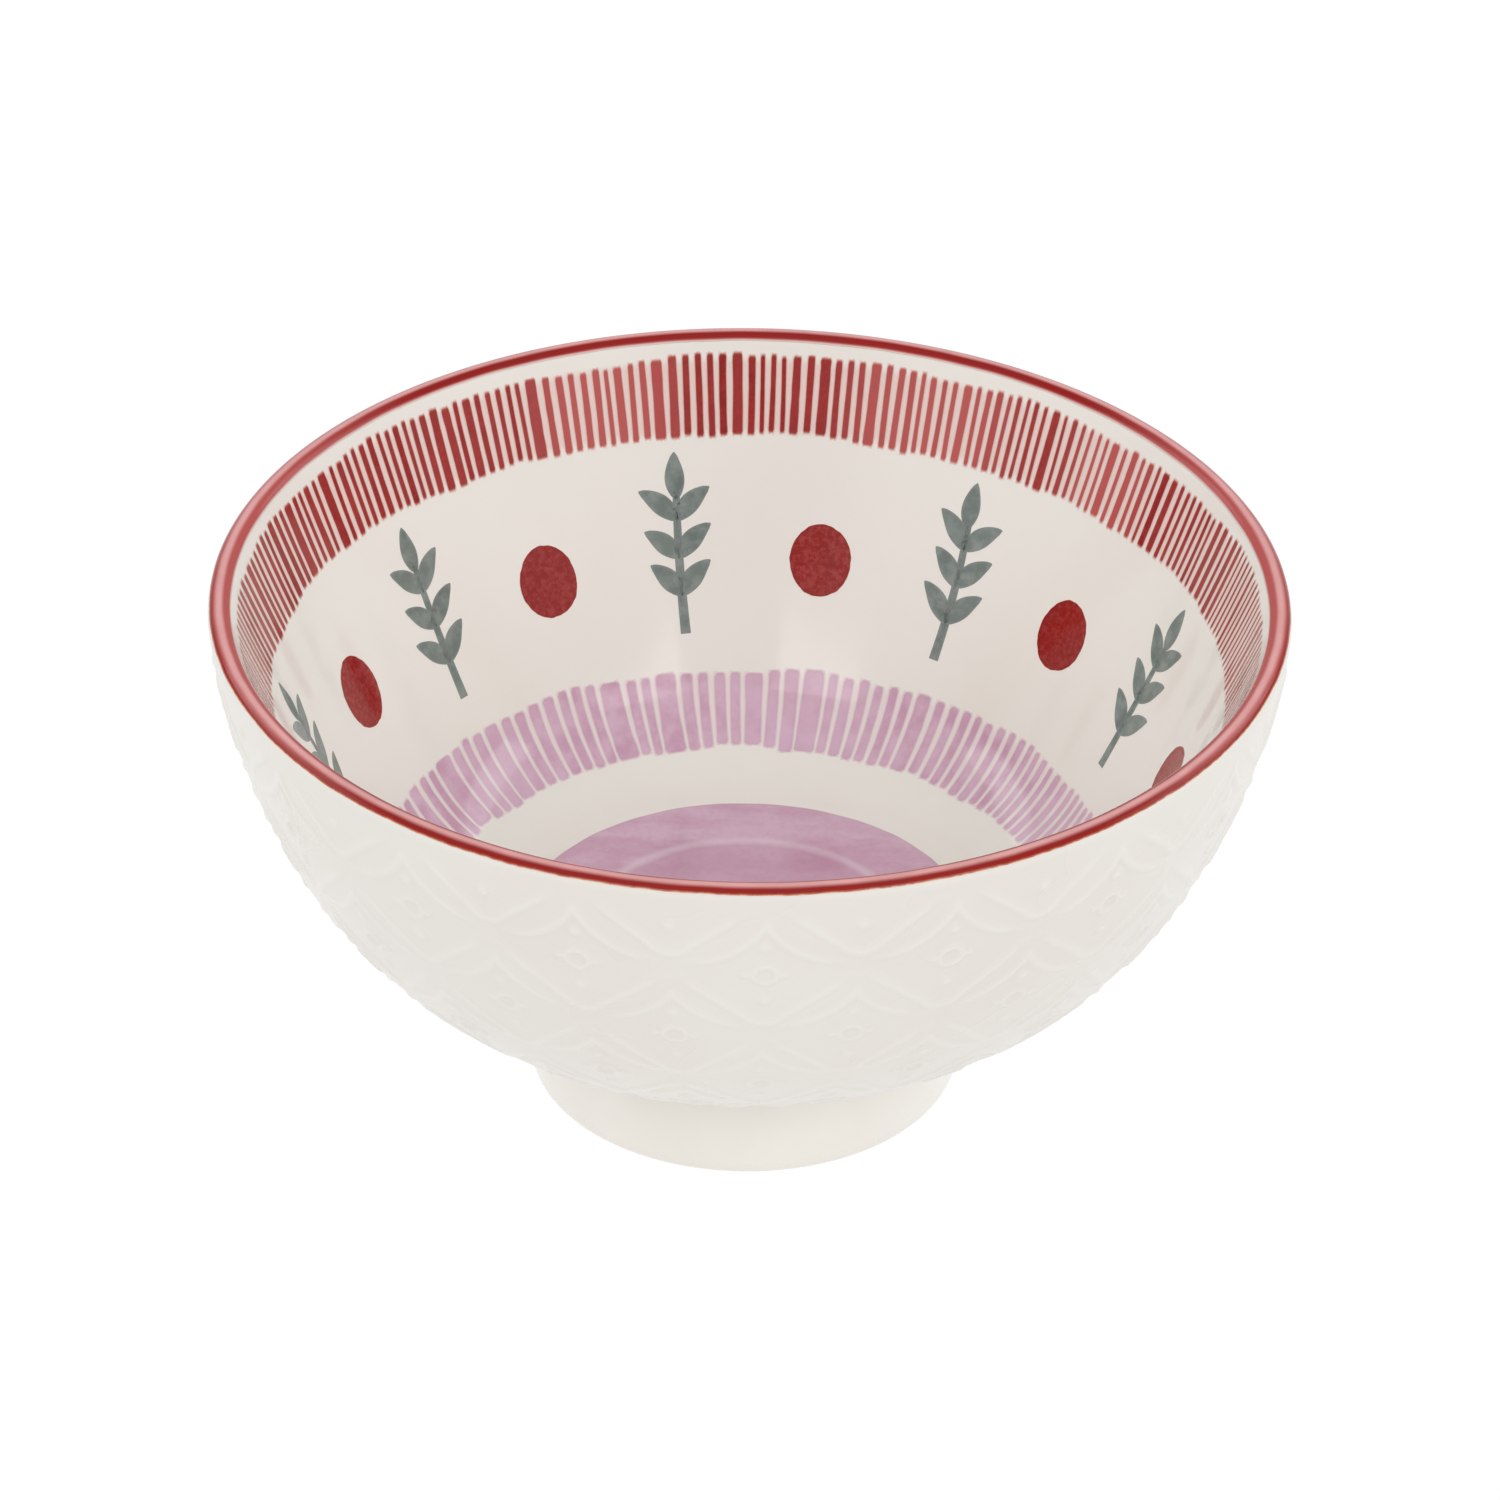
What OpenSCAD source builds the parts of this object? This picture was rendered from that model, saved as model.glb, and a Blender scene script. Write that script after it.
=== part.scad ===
// Footed stoneware bowl with a moulded lattice outside and painted bands inside.
// Millimetres, +Z up, origin at the middle of the face that the foot rests on.

/* [Bowl] */
// Outside diameter at the widest part of the lip
rim_d = 150; // [140:1:160]
// Height from the table to the top of the lip
bowl_h = 77.5; // [74:0.5:82]
// Height of the flat floor inside the bowl, above the table
floor_h = 22; // [20.5:0.5:24]
// Thickness of the floor over the top of the foot
floor_t = 5.61; // [4.5:0.01:6.5]
// Radius of the fully rounded lip
lip_r = 1.65; // [1.3:0.05:1.9]
// Lean of the outside wall under the lip, in degrees from vertical
outer_lean = 6.4; // [5:0.2:8]
// Radius of the outside curve from the lip to the belly
outer_upper_r = 89; // [84:1:94]
// Radius of the outside curve from the belly to the foot
outer_lower_r = 55; // [52:1:58]
// Lean of the inside wall under the lip, in degrees from vertical
inner_lean = 21.6; // [20:0.2:24]
// Radius of the long inside curve
inner_upper_r = 310; // [240:5:420]
// Radius of the inside curve into the floor
inner_lower_r = 21.5; // [18:0.5:26]

/* [Foot] */
// Outside diameter of the foot
foot_d = 61; // [56:1:64]
// Thickness of the foot's wall at its top
foot_wall = 6; // [5:0.25:8]
// Lean of the foot's inside wall, in degrees from vertical
foot_draft = 4; // [1:0.5:6]
// Radius of the round under the foot's outside edge
foot_round = 2.2; // [1.2:0.1:2.6]
// Width of the chamfer under the foot's inside edge
foot_chamfer = 0.8; // [0.4:0.1:1]

/* [Rim band] */
// Thickness of the coloured band laid over the lip
band_t = 0.3; // [0.2:0.05:0.6]
// Where the band ends outside, above the middle of the lip, in degrees round the lip
band_outer_angle = 14; // [0:1:30]
// Where the band ends inside, in degrees round the lip
band_inner_angle = 155; // [130:1:157]

/* [Relief] */
// Number of lattice cells round the bowl
cells = 18; // [16:1:20]
// Turn of the lattice round the bowl, in degrees
lattice_turn = 2.1; // [-10:0.1:10]
// Distance between courses, along the wall
course_pitch = 13.9; // [12.5:0.1:14.2]
// Plain strip between the lip and the lattice
plain_strip = 3.6; // [3:0.1:5]
// How far the relief stands out of the wall
relief_h = 0.45; // [0.3:0.05:0.5]
// Width of a raised line
ridge_w = 0.9; // [0.6:0.05:1.2]
// Height of a cell's pointed top above the cell's middle
arch_rise = 9.4; // [8.4:0.1:9.8]
// Fall of an arm of the pointed top, as a share of its reach
arch_fall = 0.67; // [0.6:0.01:0.75]
// Radius of the arms of the pointed top
arch_r = 12.5; // [11:0.5:18]
// Depth of a cell's round bottom below the cell's middle
cup_drop = 10; // [9:0.1:10.4]
// Radius of the round bottom
cup_r = 3; // [2.2:0.1:3.6]
// Half of the angle that the round bottom takes up, in degrees
cup_spread = 62; // [50:1:70]
// Gap between a raised line's end and the corner of the cell
corner_gap = 2.6; // [2:0.1:3.2]
// Radius of the ring in the middle of a cell
eye_r = 2; // [1.7:0.1:2.2]
// Width of the ring from point to point
eye_w = 5.6; // [5:0.1:6.6]
// Radius of the hollow in the ring
eye_hole_r = 1.1; // [0.8:0.05:1.2]
// Radius of the small beads above and below the ring
bead_r = 0.8; // [0.5:0.05:1]
// Distance of the beads from the middle of the cell
bead_offset = 5.25; // [4.6:0.05:5.6]

/* [Painted inside] */
// Thickness of the painted layers
paint_t = 0.3; // [0.15:0.05:0.4]
// Bare wall between the lip and the upper stripes, along the wall
upper_start = 2.7; // [1.5:0.1:4]
// Length of the upper stripes
upper_len = 11.9; // [9:0.1:13]
// Number of upper stripes
upper_count = 288; // [200:8:320]
// Distance from the lip to the lower stripes, along the wall
lower_start = 48.8; // [48:0.2:50]
// Length of the lower stripes
lower_len = 10.8; // [8:0.2:12]
// Number of lower stripes
lower_count = 124; // [80:4:140]
// Least width of a stripe, as a share of the distance between stripes
stripe_least = 0.42; // [0.3:0.01:0.5]
// Greatest width of a stripe, as a share of the distance between stripes
stripe_most = 0.72; // [0.55:0.01:0.85]
// How far the hand-drawn ends of the stripes stray
stripe_stray = 0.45; // [0.1:0.05:0.8]
// Radius of the disc on the floor
disc_r = 31.2; // [26:0.1:31.4]
// Number of dots in the frieze, and of sprigs
frieze_count = 9; // [6:1:10]
// Distance from the lip to the middle of the frieze, along the wall
frieze_middle = 31.5; // [30.5:0.5:32.5]
// Radius of a dot
dot_r = 5; // [3.5:0.25:6]
// Length of a sprig's stem
stem_len = 22; // [16:1:23]
// Width of a sprig's stem
stem_w = 0.9; // [0.6:0.1:1.4]
// Length of a sprig's leaf
leaf_len = 7; // [5:0.5:7.5]
// Width of a sprig's leaf
leaf_w = 2.4; // [1.6:0.2:3]
// Pairs of leaves on a sprig
leaf_pairs = 3; // [2:1:4]
// Angle between a side leaf and the stem, in degrees
leaf_spread = 45; // [35:1:55]

/* [Hidden] */
// Facets round the bowl: a whole number to half a cell, so that the wall's and the lattice's meet
$fn = 6 * cells;
// Facets round a curve of the wall's section
arc_fn = 256;
// Pieces of a stripe's section: the lower stripes lie on the tighter curve
upper_bits = 3;
lower_bits = 8;
// Seeds of the hand-drawn stripes
upper_seed = 11;
lower_seed = 23;
// Least angle that the lower outside curve turns through before the foot, in degrees
least_turn = 5;
// Steps that the outside curves are rounded to, so that one runs into the other without a seam
centre_step = 0.01;
turn_step = 0.02;
radius_step = 0.0001;
cream = [0.91, 0.88, 0.84];
pale_cream = [0.93, 0.91, 0.87];
brick_red = [0.58, 0.17, 0.15];
lilac = [0.76, 0.61, 0.68];
slate_grey = [0.43, 0.47, 0.45];

COURSES = 5;

// Direction out of the wall where it leans by an angle from vertical
function out_of_wall(lean) = [cos(lean), -sin(lean)];

// A point rounded to a step
function rounded(p, step) = [for (x = p) round(x / step) * step];

// A point, or its mirror image across the Y axis
function flip(p, side) = [side * p.x, p.y];

// Centre of the arc of a radius that runs through two points, to the left of the way between them
function centre_through(p, q, r) =
    let (half = (q - p) / 2, a = norm(half))
    p + half + sqrt(r * r - a * a) / a * [-half.y, half.x];

// The middle of the lip, and the corner where the outside curve reaches the top of the foot
lip = [rim_d / 2 - lip_r, bowl_h - lip_r];
foot_r = foot_d / 2;
foot_corner = [foot_r, floor_h - floor_t];

// The upper of the two tangent outside arcs hangs from the lip
outer_hi = rounded(lip - (outer_upper_r - lip_r) * out_of_wall(outer_lean), centre_step);
outer_r1 = round((norm(lip - outer_hi) + lip_r) / radius_step) * radius_step;
outer_lip_lean = asin((outer_hi.y - lip.y) / (outer_r1 - lip_r));

// The lower one turns off it so as to pass through the foot's corner, or, on a bowl too tall for that,
// just before the way to the corner: the foot then reaches up to it
outer_drop = outer_upper_r - outer_lower_r;
to_corner = foot_corner - outer_hi;
corner_lean = atan2(-to_corner.y, to_corner.x);
corner_side = (to_corner * to_corner + pow(outer_drop, 2) - pow(outer_lower_r, 2)) / (2 * outer_drop);
corner_turn = max(least_turn, acos(min(1, corner_side / norm(to_corner))));
turn = rounded(outer_drop * out_of_wall(corner_lean - corner_turn), turn_step);
outer_turn_lean = atan2(-turn.y, turn.x);
outer_lo = outer_hi + turn;
outer_r2 = outer_r1 - norm(turn);
foot_h = outer_lo.y - sqrt(pow(outer_r2, 2) - pow(foot_r - outer_lo.x, 2));

// The inside curves: a long arc and a tangent arc into the flat floor
inner_hi = lip - (inner_upper_r + lip_r) * out_of_wall(inner_lean);
inner_lo_z = floor_h + inner_lower_r;
inner_lo_x = sqrt(pow(inner_upper_r - inner_lower_r, 2) - pow(inner_hi.y - inner_lo_z, 2));
inner_lo = [inner_hi.x + inner_lo_x, inner_lo_z];
inner_turn_lean = atan2(inner_hi.y - inner_lo_z, inner_lo_x);

// Lengths along the wall from the lip to the place where two arcs meet
outer_upper_len = outer_r1 * (outer_turn_lean - outer_lip_lean) * PI / 180;
inner_upper_len = inner_upper_r * (inner_turn_lean - inner_lean) * PI / 180;

// Lean of the wall at a length along it from the lip
function outer_lean_at(s) = s < outer_upper_len
    ? outer_lip_lean + s / outer_r1 * 180 / PI
    : outer_turn_lean + (s - outer_upper_len) / outer_r2 * 180 / PI;
function inner_lean_at(s) = s < inner_upper_len
    ? inner_lean + s / inner_upper_r * 180 / PI
    : inner_turn_lean + (s - inner_upper_len) / inner_lower_r * 180 / PI;

// Radius and height of the wall at a length along it from the lip
function outer_at(s) = s < outer_upper_len
    ? outer_hi + outer_r1 * out_of_wall(outer_lean_at(s))
    : outer_lo + outer_r2 * out_of_wall(outer_lean_at(s));
function inner_at(s) = s < inner_upper_len
    ? inner_hi + inner_upper_r * out_of_wall(inner_lean_at(s))
    : inner_lo + inner_lower_r * out_of_wall(inner_lean_at(s));

// The part of a disc's section, filled in to the axis, between two heights
module filled_arc(centre, r, z0, z1) {
    intersection() {
        translate(centre) circle(r, $fn = arc_fn);
        translate([0, z0]) square([rim_d, z1 - z0]);
    }
    if (centre.x > 0)
        translate([0, z0]) square([centre.x, z1 - z0]);
}

// Everything inside the bowl's outside face
module outer_section() {
    turn_z = outer_at(outer_upper_len).y;
    filled_arc(outer_lo, outer_r2, foot_h, turn_z);
    filled_arc(outer_hi, outer_r1, turn_z, bowl_h);
}

// Everything inside the bowl's inside face
module inner_section() {
    turn_z = inner_at(inner_upper_len).y;
    filled_arc(inner_lo, inner_lower_r, floor_h, turn_z);
    filled_arc(inner_hi, inner_upper_r, turn_z, bowl_h + rim_d);
}

// The stretch of a ring from one direction out of its centre to another
module arc_layer(centre, r0, r1, from, to) {
    intersection() {
        difference() {
            translate(centre) circle(r1, $fn = arc_fn);
            translate(centre) circle(r0, $fn = arc_fn);
        }
        polygon([centre, centre + to, centre + from]);
    }
}

// A thin layer on the outside face, between two lengths along the wall
module outer_layer(s0, s1) {
    middle = ceil(2 * outer_r1 / norm(turn)) * turn;
    from = norm(middle) * out_of_wall(outer_lean_at(s0));
    to = norm(middle) * out_of_wall(outer_lean_at(s1));
    if (s0 < outer_upper_len)
        arc_layer(outer_hi, outer_r1, outer_r1 + relief_h, from, s1 < outer_upper_len ? to : middle);
    if (s1 > outer_upper_len)
        arc_layer(outer_lo, outer_r2, outer_r2 + relief_h, s0 > outer_upper_len ? from : middle, to);
}

// A thin layer on the inside face, between two lengths along the wall
module inner_layer(s0, s1) {
    reach = 2 * inner_upper_r;
    from = reach * out_of_wall(inner_lean_at(s0));
    middle = reach * out_of_wall(inner_turn_lean);
    to = reach * out_of_wall(inner_lean_at(s1));
    if (s0 < inner_upper_len)
        arc_layer(inner_hi, inner_upper_r - paint_t, inner_upper_r, from, s1 < inner_upper_len ? to : middle);
    if (s1 > inner_upper_len)
        arc_layer(inner_lo, inner_lower_r - paint_t, inner_lower_r, s0 > inner_upper_len ? from : middle, to);
}

// A thin layer on the floor and the curve round it, out to a radius
module floor_layer(r) {
    intersection() {
        difference() {
            filled_arc(inner_lo, inner_lower_r, floor_h, inner_lo.y);
            filled_arc(inner_lo, inner_lower_r - paint_t, floor_h + paint_t, inner_lo.y);
        }
        square([r, inner_lo.y]);
    }
}

// Everything under the two lines from the lip's middle square to the wall's faces
module below_lip() {
    outside = lip + rim_d * out_of_wall(outer_lip_lean);
    inside = lip - rim_d * out_of_wall(inner_lean);
    polygon([lip, inside, [inside.x, -rim_d], [outside.x, -rim_d], outside]);
}

// The wedge of the lip between two angles
module lip_wedge(a0, a1) {
    reach = 4 * lip_r;
    polygon(concat([lip], [for (a = [a0, (a0 + a1) / 2, a1]) lip + reach * [cos(a), sin(a)]]));
}

module rim_band_section() {
    intersection() {
        difference() {
            translate(lip) circle(lip_r);
            translate(lip) circle(lip_r - band_t);
        }
        lip_wedge(band_outer_angle, band_inner_angle);
    }
}

// The stoneware body: floor and wall, with a rebate in the lip for the band
module bowl_wall() {
    color(cream)
    rotate(lattice_turn)
    rotate_extrude()
    difference() {
        union() {
            intersection() {
                difference() {
                    outer_section();
                    inner_section();
                }
                below_lip();
            }
            intersection() {
                translate(lip) circle(lip_r);
                lip_wedge(-outer_lip_lean, 180 - inner_lean);
            }
            translate(lip) circle(lip_r / 2);
        }
        rim_band_section();
    }
}

// The turned foot, luted to the flat underside of the bowl
module foot_ring() {
    top_r = foot_r - foot_wall;
    slope = tan(foot_draft);
    bottom_r = top_r + foot_h * slope;
    color(pale_cream)
    rotate_extrude()
    difference() {
        polygon([
            [top_r, foot_h],
            [bottom_r - foot_chamfer * slope, foot_chamfer],
            [bottom_r + foot_chamfer, 0],
            [foot_r, 0],
            [foot_r, foot_h]]);
        difference() {
            translate([foot_r - foot_round, 0]) square(foot_round);
            translate([foot_r - foot_round, foot_round]) circle(foot_round);
        }
    }
}

// The coloured band over the lip
module rim_band() {
    color(brick_red)
    rotate_extrude()
    rim_band_section();
}

// Puts a flat drawing on the wall: X round the bowl, Y up the wall, Z out of it
module on_wall(at, lean) {
    multmatrix([
        [0, sin(lean), cos(lean), at.x],
        [1, 0, 0, 0],
        [0, cos(lean), -sin(lean), at.y],
        [0, 0, 0, 1]])
    children();
}

// A straight line of a given width
module bar(from, to, width) {
    across = width / 2 * [from.y - to.y, to.x - from.x] / norm(to - from);
    polygon([from - across, to - across, to + across, from + across]);
}

// A curved line of a given width, round a centre from one point to another
module bow(centre, from, to, width) {
    r = norm(from - centre);
    reach = 2 * r / norm(from + to - 2 * centre);
    intersection() {
        difference() {
            translate(centre) circle(r + width / 2);
            translate(centre) circle(r - width / 2);
        }
        polygon([centre, centre + 2 * reach * (from - centre), centre + 2 * reach * (to - centre)]);
    }
}

// The pointed top of a cell, as two hollow arms that flatten towards the corners
module cell_arch(half_w) {
    top = [0, arch_rise];
    end = [half_w - corner_gap, arch_rise - arch_fall * (half_w - corner_gap)];
    centre = centre_through(top, end, arch_r);
    for (side = [-1, 1])
        bow(flip(centre, side), flip(top, side), flip(end, side), ridge_w);
    translate(top) circle(ridge_w / 2);
}

// The round bottom of a cell, as two straight arms into a small cup
module cell_cup(half_w) {
    cup = [0, cup_r - cup_drop];
    end = [half_w - corner_gap + ridge_w, -corner_gap / 2];
    joint = cup + cup_r * [sin(cup_spread), -cos(cup_spread)];
    for (side = [-1, 1]) {
        bar(flip(joint, side), flip(end, side), ridge_w);
        translate(flip(joint, side)) circle(ridge_w / 2);
    }
    bow(cup, flip(joint, -1), joint, ridge_w);
}

// The ring with a point at each side, in the middle of a cell
module cell_eye() {
    tip = eye_w / 2;
    shoulder = eye_r * eye_r / tip;
    rise = eye_r * sqrt(1 - pow(eye_r / tip, 2));
    difference() {
        union() {
            circle(eye_r);
            polygon([[-tip, 0], [-shoulder, -rise], [shoulder, -rise], [tip, 0], [shoulder, rise], [-shoulder, rise]]);
        }
        circle(eye_hole_r);
    }
}

// One course of the lattice: the first shows only the lower half of its cells
module relief_course(course) {
    s = (course - 1) * course_pitch;
    at = outer_at(s);
    lean = outer_lean_at(s);
    step = 360 / cells;
    half_w = at.x * PI / cells;
    depth = course_pitch / 2;
    color(cream)
    for (i = [0:cells - 1])
        rotate((i + ((course + 1) % 2) / 2) * step + lattice_turn)
        intersection() {
            rotate(-step / 2)
            rotate_extrude(angle = step)
            outer_layer(max(s - course_pitch, plain_strip), s + course_pitch);
            on_wall(at, lean)
            translate([0, 0, -depth / 2])
            linear_extrude(depth) {
                cell_cup(half_w);
                translate([0, -bead_offset]) circle(bead_r);
                if (course > 1) {
                    cell_arch(half_w);
                    cell_eye();
                    translate([0, bead_offset]) circle(bead_r);
                }
            }
        }
}

// The section of a stripe that lies on the inside wall between two lengths along it
module stripe_section(s0, s1, bits) {
    lengths = [for (i = [0:bits]) s0 + (s1 - s0) * i / bits];
    polygon(concat(
        [for (s = lengths) inner_at(s) - paint_t * out_of_wall(inner_lean_at(s))],
        [for (i = [bits:-1:0]) inner_at(lengths[i])]));
}

// A ring of hand-drawn stripes down the inside wall
module stripes(count, start, length, bits, seed) {
    step = 360 / count;
    widths = rands(stripe_least, stripe_most, count, seed);
    tops = rands(-stripe_stray, stripe_stray, count, seed + 1);
    bottoms = rands(-stripe_stray, stripe_stray, count, seed + 2);
    for (i = [0:count - 1])
        rotate((i - widths[i] / 2) * step)
        rotate_extrude(angle = widths[i] * step)
        stripe_section(start + tops[i], start + length + bottoms[i], bits);
}

module upper_stripes() {
    color(brick_red) stripes(upper_count, upper_start, upper_len, upper_bits, upper_seed);
}

module lower_stripes() {
    color(lilac) stripes(lower_count, lower_start, lower_len, lower_bits, lower_seed);
}

module floor_disc() {
    color(lilac)
    rotate_extrude()
    floor_layer(disc_r);
}

// A flat drawing repeated round the frieze, cut out of a thin layer on the inside wall
module frieze(turn, half_h) {
    for (i = [0:frieze_count - 1])
        rotate((i + turn) * 360 / frieze_count)
        intersection() {
            rotate(-90 / frieze_count)
            rotate_extrude(angle = 180 / frieze_count)
            inner_layer(frieze_middle - half_h, frieze_middle + half_h);
            on_wall(inner_at(frieze_middle), inner_lean_at(frieze_middle))
            translate([0, 0, -half_h / 2])
            linear_extrude(half_h)
            children();
        }
}

module frieze_dots() {
    color(brick_red)
    frieze(0, dot_r + leaf_len)
    circle(dot_r);
}

// A pointed leaf from the origin along +X
module leaf() {
    r = (leaf_len * leaf_len + leaf_w * leaf_w) / (4 * leaf_w);
    intersection_for (side = [-1, 1])
        translate([leaf_len / 2, side * (r - leaf_w / 2)]) circle(r);
}

// A stem with a leaf at its tip and pairs of leaves up its sides
module sprig() {
    low = -stem_len / 2;
    bar([0, low], [0, -low], stem_w);
    translate([0, -low - leaf_w]) rotate(90) leaf();
    for (i = [1:leaf_pairs], side = [-1, 1])
        translate([0, low + stem_len * i / (leaf_pairs + 1)])
        rotate(90 - side * leaf_spread)
        leaf();
}

module frieze_sprigs() {
    color(slate_grey)
    frieze(0.5, stem_len / 2 + leaf_len - leaf_w / 2)
    sprig();
}

for (i = [1:COURSES])
    relief_course(i);
frieze_sprigs();
frieze_dots();
upper_stripes();
lower_stripes();
floor_disc();
bowl_wall();
foot_ring();
rim_band();
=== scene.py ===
import math

import bpy
import numpy as np
from mathutils import Matrix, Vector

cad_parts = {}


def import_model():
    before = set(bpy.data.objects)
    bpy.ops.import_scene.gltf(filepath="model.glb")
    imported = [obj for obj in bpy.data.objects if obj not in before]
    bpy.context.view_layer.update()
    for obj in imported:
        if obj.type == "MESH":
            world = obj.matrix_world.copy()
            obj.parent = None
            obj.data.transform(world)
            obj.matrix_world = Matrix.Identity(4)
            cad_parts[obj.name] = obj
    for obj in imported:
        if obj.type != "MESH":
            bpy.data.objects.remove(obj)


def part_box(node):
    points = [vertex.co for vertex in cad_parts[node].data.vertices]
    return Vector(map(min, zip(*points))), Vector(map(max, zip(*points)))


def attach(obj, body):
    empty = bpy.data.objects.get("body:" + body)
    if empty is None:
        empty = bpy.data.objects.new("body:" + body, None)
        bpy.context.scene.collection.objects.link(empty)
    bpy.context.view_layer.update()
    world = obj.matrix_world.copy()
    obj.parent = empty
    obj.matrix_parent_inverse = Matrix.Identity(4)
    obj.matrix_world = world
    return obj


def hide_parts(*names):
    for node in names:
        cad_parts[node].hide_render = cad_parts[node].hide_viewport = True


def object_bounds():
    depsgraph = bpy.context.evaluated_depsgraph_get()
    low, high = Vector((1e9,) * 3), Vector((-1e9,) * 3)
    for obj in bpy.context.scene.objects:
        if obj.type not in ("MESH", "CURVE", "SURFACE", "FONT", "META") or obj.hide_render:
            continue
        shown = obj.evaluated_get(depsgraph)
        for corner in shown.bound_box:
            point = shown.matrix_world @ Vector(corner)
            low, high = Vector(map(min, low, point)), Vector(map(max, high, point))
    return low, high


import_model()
cad_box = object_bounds()

# Everything below is drawn in millimetres and scaled to the frame's metres when a mesh is made
MM = 0.001
RNG = np.random.default_rng(7)

# Driving sizes from the frame
foot_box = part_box("foot_ring")
RIM_R = cad_box[1][0] / MM
BOWL_H = cad_box[1][2] / MM
FOOT_R = foot_box[1][0] / MM
FOOT_H = foot_box[1][2] / MM

# The bowl's section
LIP_R = 1.65
OUTER_LEAN = 6.4
OUTER_UPPER_R = 89.0
OUTER_LOWER_R = 55.0
OUTER_TURN = np.array([15.0, -8.0]) / 17.0
INNER_LEAN = 21.6
INNER_UPPER_R = 310.0
INNER_LOWER_R = 21.5
FLOOR_H = 22.0

# The foot
FOOT_WALL = 6.0
FOOT_DRAFT = 4.0
FOOT_ROUND = 2.2
FOOT_CHAMFER = 0.8
FOOT_FILLET = 0.9
FOOT_REST_STEP = 0.9
FOOT_INSIDE_STEP = 4.0
# The foot's top, hidden in the body
FOOT_TOP_H = 0.5
FOOT_TOP_OUTER_STEP = 1.5
FOOT_TOP_INNER_STEP = 1.0
# The bare ring to rest on, and the painted shade that darkens the foot towards the table
BARE_RING_H = 0.35
BARE_RING_EDGE = 0.14
BARE_RING_SWAY = 0.105
FOOT_SHADE_H = 3.0
FOOT_SHADE_SHARE = 0.35

# The relief outside
CELLS = 18
COURSES = 5
# The camera's side of the bowl, in degrees, and the lattice's turn from it
FRONT = 270.0
LATTICE_TURN = 2.1
COURSE_PITCH = 13.9
LATTICE_RISE = 0.5
RELIEF_H = 0.29
LEAF_PAD_H = 0.06
LEAF_PAD_SLOPE = 2.2
RIDGE_HALF_W = 1.30
ARCH_RISE = 9.7
ARCH_FALL = 0.73
ARCH_R = 12.5
CUP_DROP = 10.4
CUP_R = 3.0
CUP_SPREAD = 62.0
CUP_ARM_REACH = 0.9
CORNER_GAP = 2.1
TAPER_STRETCH = 0.3
TAPER_END = 0.5
EYE_R = 1.6
EYE_RIDGE_HALF_W = 0.9
EYE_DIP = 0.75
EYE_W = 5.6
EYE_HOLE_R = 1.25
BEAD_R = 1.6
BEAD_SHARE = 1.1
BEAD_OFFSET = 5.25
RELIEF_TOP = 1.2
RELIEF_FADE = 3.0
RELIEF_END = 69.5
PLAIN_BELOW = 0.5
PLAIN_ABOVE = 0.6

# The paint inside, by lengths along the wall from the lip
PAINT_LIFT = 0.03
PAINT_SINK = 0.06
BAND_OUTER_ANGLE = 27.0
BAND_INNER_ANGLE = 157.0
BAND_OUTER_SWAY = 3.0
BAND_INNER_SWAY = 2.0
BAND_OUTER_WAVES = (5, 13, 29, 61)
BAND_INNER_WAVES = (4, 11, 23, 47)
UPPER_START = 2.0
UPPER_LEN = 11.9
UPPER_COUNT = 256
LOWER_START = 47.9
LOWER_LEN = 12.0
LOWER_COUNT = 136
DISC_R = 32.3
DISC_SWAY = 0.004
DISC_WAVES = (3, 7, 13, 29)
WELL_R = 22.4
WELL_SLOPE = 1.2
WELL_DEPTH = 0.22
FRIEZE_COUNT = 9
FRIEZE_MIDDLE = 31.5
DOT_HALF_W = 4.6
DOT_HALF_H = 5.4
DOT_SIZES = (0.96, 1.04)
DOT_SWAY = 0.02
DOT_SWAY_WAVES = (2, 3, 5)
DOT_RIPPLE = 0.012
DOT_RIPPLE_WAVES = (11, 17, 23)
STEM_LEN = 22.0
STEM_W = 0.95
STEM_FOOT = 1.15
STEM_TAPER = 0.5
STEM_SWAY = 0.5
LEAF_LEN = 7.0
LEAF_W = 2.4
LEAF_TIP = 0.06
LEAF_SWELL = 0.85
LEAF_SIZES = (0.92, 1.04)
LEAF_PAIRS = 3
LEAF_SPREAD = 45.0
LEAF_SPREAD_SWAY = 4.0
LEAF_BEND = 0.25
TOP_LEAF_BEND = 0.08

# Brush strokes: how uneven their ends, lines, sides and colour are
BLEED = 1.4
RED_EDGE = 0.14
LILAC_EDGE = 0.30
SPRIG_EDGE = 0.20
EDGE_LIMIT = 0.6
END_FADE = 0.55
UNEVEN_TOP = 0.6
UNEVEN_TOP_WAVES = (5, 9, 17)
UNEVEN_LOW = 0.55
UNEVEN_LOW_WAVES = (6, 11, 19)
UNEVEN_STROKE = 0.22
STROKE_TILT = 0.14
STROKE_SWAY = 0.06
STROKE_TAPER = 0.10
STROKE_WOBBLE = 0.05
STROKE_RAGGED = 0.22
# Shares of a stroke's length from its lower end, and its width there
STROKE_SHARES = np.array([0.0, 0.015, 0.05, 0.15, 0.3, 0.45, 0.6, 0.75, 0.87, 0.95, 0.985, 1.0])
STROKE_WIDTHS = np.array([0.70, 0.92, 1.0, 1.0, 1.0, 1.0, 1.0, 1.0, 1.0, 1.0, 0.92, 0.72])
# The strokes are broadest towards this place round the bowl, in degrees
BROAD_PLACE = 150.0
BROAD_SHARE = 0.26
# Widths of narrow and wide strokes and of gaps, against each other, and the share of wide ones
RED_WIDTHS = dict(narrow=(0.58, 0.98), wide=(1.05, 1.5), wide_share=0.22, gap=(0.70, 1.05))
LILAC_WIDTHS = dict(narrow=(0.85, 1.25), wide=(1.5, 2.4), wide_share=0.25, gap=(0.62, 0.95))
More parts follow.
